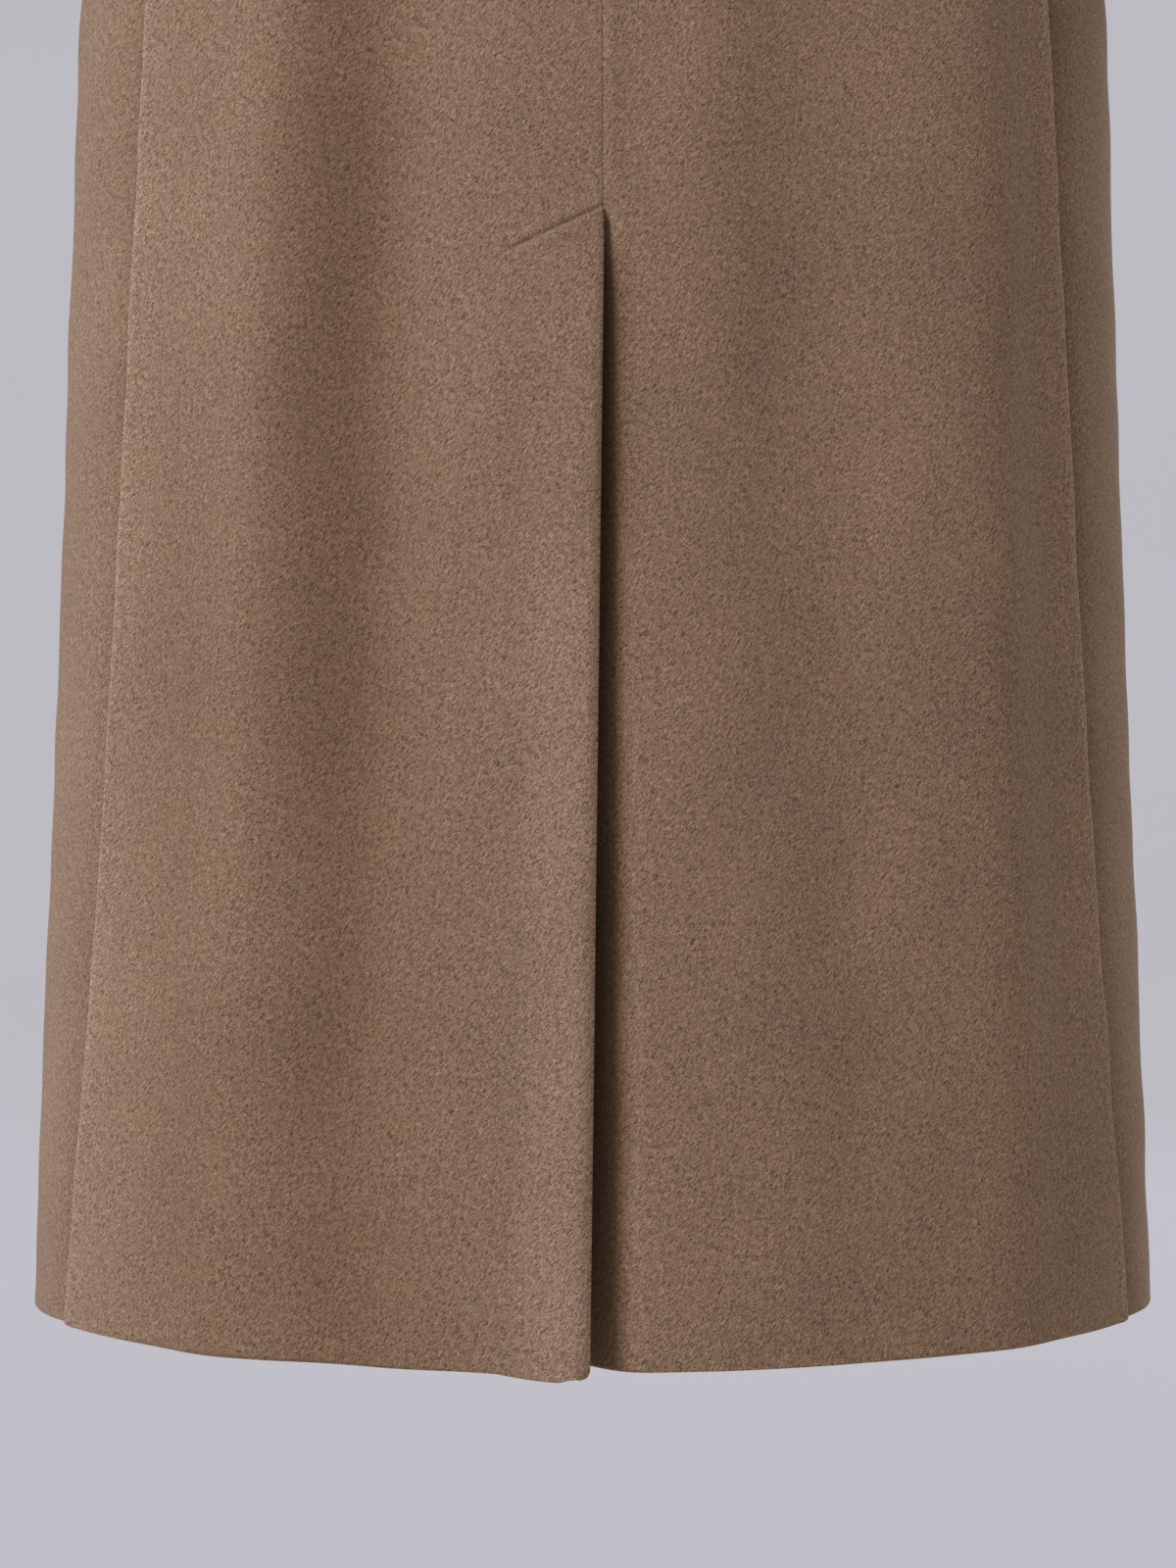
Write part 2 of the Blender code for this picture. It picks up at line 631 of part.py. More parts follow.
def sleeve(a, s):
    # Sleeve surface on the left: s from the armhole (0) to the arm's first ring (1), then on to the cuff (2)
    a, s = np.broadcast_arrays(np.asarray(a, float), np.asarray(s, float))
    turn = sleeve_angle(a)
    high = (0.5 * (1 + np.cos(turn)))[..., None]
    start = scye(a) + (SEAM_GAP + 0.0006 * (1 - high)) * np.array((1.0, 0.0, 0.0))
    first = arm_ring(a, np.zeros_like(a))
    direction = arm_point(0.0)[1]
    leave = unit(high * np.array((1.0, 0.0, -0.10)) + (1 - high) * np.array((0.9, 0.0, -0.5)))
    leave = leave * (0.03 + 0.19 * high)
    arrive = direction * (0.02 + 0.22 * high)
    cap = hermite(start, first, leave, arrive, np.minimum(s, 1.0)[..., None])
    return np.where((s > 1.0)[..., None], arm_ring(a, np.clip(s - 1.0, 0.0, 1.0)), cap)


def make_sleeve(side, name, stops):
    loop = np.array(stops, float)
    cap_rows = np.linspace(0.0, 1.0, CAP_CELLS + 1)
    arm_rows = np.linspace(1.0, 2.0, ARM_CELLS + 1)
    rows = np.concatenate([cap_rows, arm_rows[1:]])
    s, a = np.meshgrid(rows, loop, indexing="ij")
    turned = np.mod(a, 3.0)
    outer = sleeve(turned, s)
    step = 0.004
    along = sleeve(turned, np.minimum(s + step, 2.0)) - sleeve(turned, np.maximum(s - step, 0.0))
    around = sleeve(np.mod(a + step, 3.0), s) - sleeve(np.mod(a - step, 3.0), s)
    face = unit(np.cross(around, along))
    inward = -CLOTH * face
    inward[0, :, 0] = np.maximum(inward[0, :, 0], 0.0)
    inward[0] = CLOTH * unit(inward[0])
    return wall(name, mirror(side, outer), mirror(side, outer + inward))


def sleeve_stops():
    # Places on the armhole loop of the two sleeve pieces' columns, half a gap in from their seams
    rear = np.linspace(0.0, 1.0, UPPER_CELLS + 1)
    below = 1.0 + np.linspace(0.0, 1.0, UNDERARM_CELLS + 1)
    ahead = 2.0 + np.linspace(0.0, 1.0, UPPER_CELLS + 1)
    inset = 0.0030
    back_seam = rear[-2]
    front_seam = ahead[2]
    top = np.concatenate([[front_seam + inset], ahead[3:-1], 3.0 + rear[:-2], [3.0 + back_seam - inset]])
    under = np.concatenate([[back_seam + inset], rear[-1:], below[1:], ahead[1:2], [front_seam - inset]])
    return top, under


def button_disc():
    # Turned disc with a raised rim
    shape = bmesh.new()
    radii = table(BUTTON_COLUMNS, BUTTON_PROFILE, "radius")
    heights = table(BUTTON_COLUMNS, BUTTON_PROFILE, "height")
    line = [shape.verts.new((x, 0.0, z)) for x, z in zip(radii, heights)]
    for first, second in zip(line, line[1:]):
        shape.edges.new((first, second))
    geometry = shape.verts[:] + shape.edges[:]
    full = 2 * math.pi
    bmesh.ops.spin(shape, geom=geometry, cent=(0, 0, 0), axis=(0, 0, 1), angle=full, steps=20, use_merge=True)
    bmesh.ops.remove_doubles(shape, verts=shape.verts, dist=0.00005)
    return shape


def button_drill():
    # Four pins where the holes go
    shape = bmesh.new()
    half = BUTTON_HOLE_PITCH / 2
    for across, along in ((1, 1), (1, -1), (-1, 1), (-1, -1)):
        spot = Matrix.Translation((across * half, along * half, 0.0))
        bmesh.ops.create_cone(shape, cap_ends=True, segments=8, radius1=BUTTON_HOLE, radius2=BUTTON_HOLE,
                              depth=0.02, matrix=spot)
    return shape


def make_button(name, height):
    # Four-hole button on the left front, over the centre line
    horn = material("dark_horn", (0.045, 0.027, 0.018), 0.35)
    button = place(name, button_disc(), horn)
    drill = place(name + "_drill", button_drill(), horn)
    drill.hide_render = True
    drill.display_type = "WIRE"
    v = np.array((height - HEM) / (SCYE - HEM))
    u = FRONT_LAP / reach_at(1, v)
    face = front_normal(1, u, v)
    right = unit(np.cross(np.array((0.0, 0.0, 1.0)), face))
    turn = np.stack([right, np.cross(face, right), face], axis=1)
    seat = front(1, u, v) + face * SEAM_GAP
    for node in (button, drill):
        points = np.array([vertex.co[:] for vertex in node.data.vertices]) @ turn.T + seat
        node.data.vertices.foreach_set("co", points.ravel())
        node.data.update()
    cut = button.modifiers.new("holes", "BOOLEAN")
    cut.operation = "DIFFERENCE"
    cut.solver = "EXACT"
    cut.object = drill
    return button


make_back(1, "back_left")
make_back(-1, "back_right")
make_front(1, "front_left")
make_front(-1, "front_right")
make_lapel(1, "lapel_left")
make_lapel(-1, "lapel_right")
make_collar("collar_stand", "collar_fall")
top_stops, under_stops = sleeve_stops()
for side, word in ((1, "left"), (-1, "right")):
    make_sleeve(side, "sleeve_top_" + word, top_stops)
    make_sleeve(side, "sleeve_under_" + word, under_stops)
for number, button_height in enumerate(BUTTON_HEIGHTS, 1):
    make_button(f"button_{number}", button_height)
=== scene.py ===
import math

import bpy
import numpy as np
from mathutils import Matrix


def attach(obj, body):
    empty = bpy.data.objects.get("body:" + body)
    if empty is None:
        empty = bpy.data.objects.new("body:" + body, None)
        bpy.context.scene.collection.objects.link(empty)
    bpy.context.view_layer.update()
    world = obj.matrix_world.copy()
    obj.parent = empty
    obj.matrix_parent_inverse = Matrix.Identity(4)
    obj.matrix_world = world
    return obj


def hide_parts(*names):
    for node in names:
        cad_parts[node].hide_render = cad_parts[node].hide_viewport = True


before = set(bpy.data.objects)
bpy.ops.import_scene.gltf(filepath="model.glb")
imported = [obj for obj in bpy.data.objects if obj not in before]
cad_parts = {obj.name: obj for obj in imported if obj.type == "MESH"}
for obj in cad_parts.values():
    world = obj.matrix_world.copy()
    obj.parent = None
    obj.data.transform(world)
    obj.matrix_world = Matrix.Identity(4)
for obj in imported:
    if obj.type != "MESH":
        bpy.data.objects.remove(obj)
scene = bpy.context.scene
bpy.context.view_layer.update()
print("frame loaded:", len(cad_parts), "nodes")


# cubic from start to end that leaves and arrives with the given slopes
def hermite(start, end, leave, arrive, t):
    return (
        start * (2 * t**3 - 3 * t**2 + 1)
        + leave * (t**3 - 2 * t**2 + t)
        + end * (3 * t**2 - 2 * t**3)
        + arrive * (t**3 - t**2)
    )


# smooth curve through a table's rows, the named column against the first
def smoothThrough(names, rows, name, where):
    columns = np.array(rows, float).T
    at, values = columns[0], columns[names.index(name)]
    slopes = np.gradient(values, at)
    i = np.clip(np.searchsorted(at, where) - 1, 0, len(at) - 2)
    span = at[i + 1] - at[i]
    t = (where - at[i]) / span
    return hermite(values[i], values[i + 1], slopes[i] * span, slopes[i + 1] * span, t)


# a table's rows as dictionaries
def rowsOf(names, rows):
    return [dict(zip(names, row)) for row in rows]


def within(value):
    return np.clip(value, 0.0, 1.0)


# 0 below low, 1 above high, a soft step between
def ease(low, high, value):
    t = within((value - low) / (high - low))
    return t * t * (3 - 2 * t)


# bell of the given half width round zero
def bell(value, halfWidth):
    return np.exp(-((value / halfWidth) ** 2))


def unit(vectors):
    return vectors / np.linalg.norm(vectors, axis=-1, keepdims=True)


def stack(x, y, z):
    return np.stack(np.broadcast_arrays(x, y, z), axis=-1)


# two coordinates as arrays of one shape
def paired(u, v):
    return np.broadcast_arrays(np.asarray(u, float), np.asarray(v, float))


def grid(rows, columns):
    return np.meshgrid(rows, columns, indexing="ij")


# runs of even steps joined end to end: the start, then each run's end and count
def steps(start, *runs):
    parts = []
    for end, count in runs:
        parts.append(np.linspace(start, end, count, endpoint=False))
        start = end
    return np.append(np.concatenate(parts), start)


sides = ((1, "left"), (-1, "right"))  # the wearer's
wordOf = dict(sides)
# body of the coat, in metres and degrees; angles run round from the centre back
coat = {
    "cloth": 0.0026,  # thickness
    "seamGap": -0.0007,  # sewn edges press into each other by this much
    "seamRadius": 0.21,
    "hem": -1.160,
    "scye": -0.210,  # height of the armhole's lower corners
    "scyeDrop": 0.066,
    "frontScyeAngle": 113.0,
    "ringPower": 0.93,  # 1 is an ellipse, less is squarer
    "uneven": 0.00022,  # slow swell of the felted cloth
    "hemSag": 0.0030,  # of the hem at the centre, and its rise at the sides
    "hemRise": 0.0085,
    "seamProud": 0.0016,  # at the seam behind the side: the back's pressed edge stands up and rolls over,
    "seamRise": 0.011,  # the front lies sunk beside it; heights, and the widths they fade over
    "seamRoll": 0.0042,
    "seamSunk": 0.0022,
    "seamFront": 0.013,
    "frontHemUp": 0.0010,  # of the fronts' hem above the back's
    "backWide": 0.27,  # rough width of a panel, for distances from its seam
    "frontWide": 0.42,
    "seamPaintedHighlight": ((0.3, 0.011), (0.7, 0.0035)),  # painted highlight along that seam on the back's edge: share, width it fades over
    "frontPaintedShade": {1: 0.22, -1: 0.5},  # painted shade beside it, on the left and right front
    "cornerRise": 0.0026,  # of the back's hem at that seam, rounded off: rise, width, height
    "cornerWide": 0.010,
    "cornerHigh": 0.035,
    "centreProud": 0.0007,  # of the right back along the centre seam
    "centreWide": 0.004,
}
ringNames = ("height", "halfWidth", "back", "front", "seamAngle")
rings = (
    (-1.160, 0.2853, 0.183, 0.190, 65.8),
    (-0.970, 0.2775, 0.176, 0.184, 61.7),
    (-0.850, 0.2728, 0.171, 0.180, 60.0),
    (-0.730, 0.2694, 0.166, 0.175, 58.5),
    (-0.610, 0.2665, 0.162, 0.170, 56.8),
    (-0.487, 0.2620, 0.155, 0.166, 55.3),
    (-0.390, 0.2470, 0.149, 0.163, 54.8),
    (-0.300, 0.2340, 0.150, 0.160, 55.4),
    (-0.210, 0.2280, 0.150, 0.154, 57.0),
)
# folds and creases down the body: angle at the top and bottom end (plus is the wearer's left),
# heights of both ends, how far it stands out (minus is a trough), half width in degrees
foldNames = ("angleTop", "angleBottom", "top", "bottom", "out", "spread")
folds = (
    (18.0, 23.0, -0.36, -1.02, -0.0060, 9.0),
    (36.0, 40.0, -0.38, -1.10, 0.0030, 9.0),
    (-21.0, -19.0, -0.38, -0.98, -0.0060, 8.5),
    (-40.0, -37.0, -0.40, -1.05, 0.0030, 8.0),
    (-88.0, -90.0, -0.40, -0.72, -0.0055, 5.0),
    (-102.0, -104.0, -0.40, -0.80, 0.0040, 7.0),
    (86.0, 88.0, -0.40, -0.66, -0.0025, 5.0),
    (118.0, 124.0, -0.46, -1.08, -0.0060, 9.0),
    (140.0, 142.0, -0.55, -1.16, 0.0050, 9.0),
    (-122.0, -118.0, -0.50, -1.10, -0.0060, 9.0),
    (-143.0, -146.0, -0.58, -1.16, 0.0050, 9.0),
)
creases = (
    (31.5, 40.0, -0.34, -1.40, 0.0066, 5.8),
    (20.0, 26.0, -0.34, -1.38, -0.0062, 5.8),
    (7.0, 9.0, -0.70, -1.14, 0.0010, 5.0),
    (49.0, 53.0, -0.56, -1.12, -0.0012, 5.0),
    (-43.0, -42.0, -0.34, -1.34, 0.0056, 6.0),
    (-25.0, -24.0, -0.34, -1.30, -0.0030, 6.0),
    (-17.0, -16.0, -0.34, -0.90, -0.0016, 5.0),
    (-9.0, -10.0, -0.42, -0.80, 0.0008, 5.0),
    (-50.0, -53.0, -0.44, -1.02, -0.0016, 5.0),
    (78.0, 84.0, -0.62, -1.14, 0.0014, 5.0),
    (97.0, 101.0, -0.34, -0.62, -0.0024, 4.0),
    (106.0, 112.0, -0.40, -0.92, 0.0036, 5.0),
    (131.0, 133.0, -0.50, -0.92, -0.0038, 4.5),
    (155.0, 152.0, -0.44, -0.76, -0.0028, 5.0),
    (-78.0, -80.0, -0.66, -1.13, 0.0012, 5.0),
    (-110.0, -107.0, -0.36, -0.70, -0.0034, 4.5),
    (-132.0, -129.0, -0.46, -0.98, -0.0040, 4.5),
    (-156.0, -158.0, -0.48, -0.82, -0.0030, 5.0),
)
# short creases that run across: angle and height of both ends, out, half width in metres
dragNames = ("angleFrom", "heightFrom", "angleTo", "heightTo", "out", "spread")
drags = (
    (80.0, -0.372, 52.0, -0.430, -0.0016, 0.011),
    (76.0, -0.410, 44.0, -0.478, 0.0012, 0.012),
    (-82.0, -0.360, -56.0, -0.404, -0.0016, 0.010),
    (-74.0, -0.396, -46.0, -0.462, 0.0012, 0.012),
    (165.0, -0.432, 128.0, -0.386, -0.0016, 0.009),
    (163.0, -0.446, 120.0, -0.452, 0.0012, 0.010),
    (162.0, -0.552, 132.0, -0.520, -0.0012, 0.009),
    (-166.0, -0.440, -130.0, -0.390, -0.0015, 0.009),
    (-160.0, -0.560, -130.0, -0.586, -0.0012, 0.010),
    (104.0, -0.300, 76.0, -0.346, -0.0018, 0.009),
    (-106.0, -0.306, -78.0, -0.338, -0.0018, 0.009),
)
# bands down the left back of painted light (plus) or painted shade (minus) along the folds: x, half width, share,
# height it starts at and height from which it is full
paintedFoldShadeNames = ("x", "spread", "share", "start", "full")
paintedFoldShades = (
    (0.122, 0.036, -0.36, -0.20, -0.48),
    (0.198, 0.024, -0.24, -0.62, -0.86),
    (0.022, 0.030, 0.20, -0.70, -0.86),
)
# creases on the shoulders and chest, seen from behind or in front: face, both ends (x, z), out, half width
chestNames = ("face", "xFrom", "zFrom", "xTo", "zTo", "out", "spread")
chests = (
    (1, 0.196, -0.190, 0.112, -0.120, -0.0016, 0.013),
    (1, 0.190, -0.222, 0.070, -0.196, 0.0012, 0.014),
    (1, -0.194, -0.180, -0.120, -0.104, -0.0016, 0.012),
    (1, -0.188, -0.226, -0.086, -0.214, 0.0012, 0.014),
    (1, 0.150, -0.046, 0.080, -0.084, 0.0010, 0.016),
    (1, -0.146, -0.050, -0.084, -0.090, 0.0010, 0.015),
    (-1, 0.196, -0.170, 0.140, -0.090, -0.0016, 0.012),
    (-1, -0.198, -0.160, -0.146, -0.074, -0.0015, 0.012),
    (-1, 0.184, -0.206, 0.120, -0.206, 0.0010, 0.012),
)
vent = {
    "top": -0.620,
    "underlapTop": -0.631,
    "underlap": 0.042,
    "underlapSlant": 0.45,
    "swing": 0.0075,
    "proudTop": 0.0036,  # of the lapped edge, soon below the vent's top and at the hem
    "proud": 0.0085,
    "rollIn": 0.0022,  # of its last few millimetres
    "droop": 0.0024,
    "droopSpread": 0.062,
    "spread": 0.038,
    "recessTop": 0.0055,
    "recessHem": 0.0205,
    "slopeTop": 0.0075,  # width over which the other edge sinks
    "slopeHem": 0.028,
    "ventPaintedShade": 0.92,  # painted shade on the underlap beside and under the lapped edge: how much darker
    "ventPaintedShadeWide": 0.017,
    "corner": 0.0046,  # round of the lapped corner
    "stitchAcross": 0.0440,  # the slanting seam at the vent's top: run, fall, depth, half width
    "stitchFall": 0.0205,
    "stitchDepth": 0.0016,
    "stitchWide": 0.0008,
    "stitchStart": (-0.004, 0.0018),  # x, and rise above the vent's top
    "tick": 0.0055,  # upward end of that seam
    "tickLean": 0.0012,
    "puffBelow": 0.0042,  # soft puff of cloth under it
    "puffWide": 0.0036,
}


def ringValue(name, height):
    return smoothThrough(ringNames, rings, name, height)


# distance from a segment between two points of a plane, and how far along it, 0 to 1
def segmentDistance(x, z, x0, z0, x1, z1):
    dx, dz = x1 - x0, z1 - z0
    share = ((x - x0) * dx + (z - z0) * dz) / (dx * dx + dz * dz)
    held = within(share)
    return np.hypot(x - x0 - held * dx, z - z0 - held * dz), share


# crease between two points of a plane: a bell across it, fading in and out along it as a sine
def creaseOut(x, z, ends, out, spread):
    away, share = segmentDistance(x, z, *ends)
    return out * bell(away, spread) * np.sin(math.pi * within(share)) ** 0.6


# each fold is a bell across its slanting line, fading in and out along it as a sine
def foldOut(angle, height):
    degrees = np.degrees(angle)
    total = 0.0
    for fold in rowsOf(foldNames, folds + creases):
        along = within((fold["top"] - height) / (fold["top"] - fold["bottom"]))
        centre = fold["angleTop"] + (fold["angleBottom"] - fold["angleTop"]) * along
        total = total + fold["out"] * bell(degrees - centre, fold["spread"]) * np.sin(math.pi * along) ** 0.7
    metres = math.radians(1.0) * coat["seamRadius"]
    for drag in rowsOf(dragNames, drags):
        ends = (drag["angleFrom"] * metres, drag["heightFrom"], drag["angleTo"] * metres, drag["heightTo"])
        total = total + creaseOut(degrees * metres, height, ends, drag["out"], drag["spread"])
    return total


# ring of the body: a squared ellipse, half width and depth each moved out by the folds
def ringPoint(side, angle, height):
    out = foldOut(side * angle, height)
    sine, cosine = np.sin(angle), np.cos(angle)
    deep = np.where(cosine > 0, ringValue("back", height), ringValue("front", height))
    x = (ringValue("halfWidth", height) + out) * np.sign(sine) * np.abs(sine) ** coat["ringPower"]
    y = (deep + out) * np.sign(cosine) * np.abs(cosine) ** coat["ringPower"]
    return stack(x, y, height + hemCurve(angle, height))


def angleAt(x, height):
    share = np.abs(x) / ringValue("halfWidth", height)
    return np.sign(x) * np.arcsin(within(share) ** (1 / coat["ringPower"]))


def seamAngle(height, towardBack):
    return np.radians(ringValue("seamAngle", height)) - towardBack * 0.5 * coat["seamGap"] / coat["seamRadius"]


# the hem sags a little at the centres and rises at the sides, fading out upwards
def hemCurve(angle, height):
    return (coat["hemRise"] * np.sin(angle) ** 2 - coat["hemSag"]) * (1 - ease(0.0, 0.30, height - coat["hem"]))


def heightOf(v):
    return coat["hem"] + v * (coat["scye"] - coat["hem"])


def rowOf(height):
    return (height - coat["hem"]) / (coat["scye"] - coat["hem"])


# back below the armhole: u from the centre back to the seam, v from the hem (0) to the armhole (1);
# the lapped edge swings, stands proud and droops towards the hem, the other edge lies sunk under it
def backLower(side, u, v):
    height = heightOf(v) + 0 * u
    down = within((vent["top"] - height) / (vent["top"] - coat["hem"]))
    swing = 0 * down
    if side > 0:
        lift = np.clip(height - coat["hem"], 0.0, vent["corner"])
        swing = vent["swing"] * down + vent["corner"] - np.sqrt(vent["corner"] ** 2 - (vent["corner"] - lift) ** 2)
    inner = angleAt(0.5 * coat["seamGap"] + swing, height)
    angle = inner + u * (seamAngle(height, 1.0) - inner)
    if side < 0:
        under = np.minimum(u, 0.0)
        angle = np.where(u < 0, inner + under * vent["underlap"] / ringValue("back", height), angle)
        near = ease(vent["underlapTop"] - 0.14, vent["underlapTop"], height)
        height = height + vent["underlapSlant"] * vent["underlap"] * under * near
    point = ringPoint(side, angle, height)
    edgeX = point[..., 0] - swing
    if side > 0:
        proud = vent["proudTop"] * ease(0.0, 0.10, down) + (vent["proud"] - vent["proudTop"]) * down
        rolled = within(1 - edgeX / (0.0035 + 0.0060 * down)) ** 2
        point[..., 1] += proud * (1 - ease(0.0, vent["spread"], edgeX)) - vent["rollIn"] * rolled * down**0.5
        point[..., 2] -= vent["droop"] * down**3 * (1 - ease(0.0, vent["droopSpread"], edgeX))
    else:
        wide = vent["slopeTop"] + (vent["slopeHem"] - vent["slopeTop"]) * down**0.7
        near = within(1 - (edgeX + vent["swing"] * down) / wide) ** 2
        depth = vent["recessTop"] + (vent["recessHem"] - vent["recessTop"]) * down**0.6
        point[..., 1] -= depth * near * ease(0.0, 0.010, vent["top"] - height)
    return point


neck = {
    "nape": (0.0, 0.062, 0.0),
    "side": (0.088, 0.004, 0.020),
    "shoulder": (0.228, 0.006, -0.028),
    "share": 0.36,  # of the back's top edge that is neckline
}


# top edge of the back: a quarter round for the neckline, then the straight shoulder seam
def backTop(u):
    nape, side, shoulder = (np.array(neck[name]) for name in ("nape", "side", "shoulder"))
    turn = np.minimum(u / neck["share"], 1.0) * math.pi / 2
    startX = 0.5 * coat["seamGap"]
    arc = stack(
        startX + (side[0] - startX) * np.sin(turn),
        side[1] + (nape[1] - side[1]) * np.cos(turn),
        nape[2] + (side[2] - nape[2]) * (1 - np.cos(turn)),
    )
    along = np.maximum((u - neck["share"]) / (1 - neck["share"]), 0.0)[..., None]
    point = np.where(along > 0, side + (shoulder - side) * along, arc)
    point[..., 1] += 0.5 * coat["seamGap"] + 2 * coat["seamGap"] * (1 - ease(0.0, 0.5, along[..., 0]))
    return point


# soft line near the back's top edge that rounds off the corner at the neck
def backCrown(u):
    shoulder = neck["shoulder"]
    startX = 0.5 * coat["seamGap"]
    return stack(
        startX + (shoulder[0] - startX) * u,
        shoulder[1] + (neck["nape"][1] - shoulder[1]) * (1 - ease(0.0, 0.75, u)),
        shoulder[2] * u**2 + 0.10 * u**2 * (1 - u),
    )


# whole panel: its lower part, then a cubic from the armhole level to a soft crown, drawn onto its top edge
def wholePanel(lower, side, u, v, top, crown, over):
    base = lower(side, u, np.ones_like(u))
    rise = unit(base - lower(side, u, np.full_like(u, 0.999)))
    chord = np.linalg.norm(crown - base, axis=-1, keepdims=True)
    t = (v - 1.0)[..., None]
    upper = hermite(base, crown, rise * chord * 0.85, unit(over) * chord * 0.85, t) + (top - crown) * t**5
    return np.where(t > 0.0, upper, lower(side, u, np.minimum(v, 1.0)))


def backPoint(side, u, v):
    u, v = paired(u, v)
    flat = ease(0.0, neck["share"], u)
    over = stack(0 * u, -0.55 - 0.45 * flat, 0.83 * (1 - flat))
    return wholePanel(backLower, side, u, v, backTop(u), backCrown(u), over)


front = {
    "lap": 0.028,  # past the centre front
    "break": -0.400,
    "recess": 0.0100,  # of the right front under the left
    "upperLength": 0.25,
}


# inner edge of a front: straight up to the break, then along the roll line to the neck
def rollX(height):
    slope = (neck["side"][0] + front["lap"]) / (neck["side"][2] - front["break"])
    above = np.maximum(height - front["break"], 0.0)
    return -front["lap"] + slope * above * ease(-0.02, 0.05, above)


frontInner = math.pi - angleAt(rollX(coat["scye"]), coat["scye"])
frontScyeU = float((math.radians(coat["frontScyeAngle"]) - frontInner) / (seamAngle(coat["scye"], -1.0) - frontInner))


# front below the armhole: u from the front edge to the seam, the armhole dipping between its corners
def frontLower(side, u, v):
    height = heightOf(v) + 0 * u
    inner = math.pi - angleAt(rollX(height), height)
    angle = inner + u * (seamAngle(height, -1.0) - inner)
    underArm = within((u - frontScyeU) / (1 - frontScyeU))
    dip = coat["scyeDrop"] * np.maximum(np.sin(math.pi * underArm), 0.0) ** 0.75
    height = height - dip * ease(0.72, 1.0, v)
    point = ringPoint(side, angle, height)
    point[..., 2] += coat["frontHemUp"] * (1 - ease(0.0, 0.10, v))
    if side < 0:
        near = 1 - ease(0.030, 0.085, point[..., 0])
        point[..., 1] += front["recess"] * near * (1 - ease(-0.335, -0.213, height))
    return point


def frontPoint(side, u, v):
    u, v = paired(u, v)
    start = np.array(neck["side"])
    top = start + (np.array(neck["shoulder"]) - start) * (u / frontScyeU)[..., None]
    top[..., 1] -= 0.5 * coat["seamGap"]
    return wholePanel(frontLower, side, u, v, top, top, stack(0 * u, 1.0 + 0 * u, 0 * u))


# outward direction of a panel, from two short steps along it
def panelNormal(surface, side, u, v):
    u, v = paired(u, v)
    step = 0.0008
    forward = np.where(v == 1.0, -step, step)
    along = (surface(side, u, v + forward) - surface(side, u, v)) * np.sign(forward)[..., None]
    across = surface(side, u + step, v) - surface(side, u - step, v)
    return unit(np.cross(across, along)) * (-1.0 if surface is backPoint else 1.0)


def mirrored(side, points):
    return points * np.array((side, 1.0, 1.0))


# points of a panel, on its own side, and their outward directions
def panelGrid(surface, side, u, v):
    return mirrored(side, surface(side, u, v)), mirrored(side, panelNormal(surface, side, u, v))


# points of a left panel, moved out by a length
def offPanel(surface, u, v, out):
    return surface(1, u, v) + out * panelNormal(surface, 1, u, v)


# slow swell of felted cloth: five long waves through space, so that neighbours swell together
def uneven(points):
    waves = ((71, 23, 64, 0.4), (-46, 58, 91, 1.9), (117, -32, 39, 3.1), (22, 97, -124, 4.6), (-141, 12, 83, 5.5))
    total = 0.0
    for wx, wy, wz, start in waves:
        total = total + np.sin(points @ np.array((wx, wy, wz), float) + start)
    return coat["uneven"] * total / math.sqrt(len(waves) / 2)


def chestCrease(points):
    total = 0.0
    for crease in rowsOf(chestNames, chests):
        ends = [crease[name] for name in ("xFrom", "zFrom", "xTo", "zTo")]
        faces = ease(0.0, 0.03, crease["face"] * points[..., 1])
        total = total + creaseOut(points[..., 0], points[..., 2], ends, crease["out"], crease["spread"]) * faces
    return total


# swell of a panel, with the creases above the armhole's corners
def swell(points, v):
    return uneven(points) + chestCrease(points) * ease(1.0, 1.15, v)


# 1 below the armhole's corners, fading to 0 under the arm
def belowArm(points):
    return 1 - ease(-0.34, -0.24, points[..., 2])


# cloth lengths across and along a grid, in metres, for the nap to follow
def clothLengths(points, turn):
    across = np.linalg.norm(np.diff(points, axis=1), axis=-1)
    along = np.linalg.norm(np.diff(points, axis=0), axis=-1)
    u = np.concatenate([np.zeros((len(points), 1)), np.cumsum(across, axis=1)], axis=1)
    v = np.concatenate([np.zeros((1, points.shape[1])), np.cumsum(along, axis=0)], axis=0)
    return np.stack([turn * u, v], axis=-1)
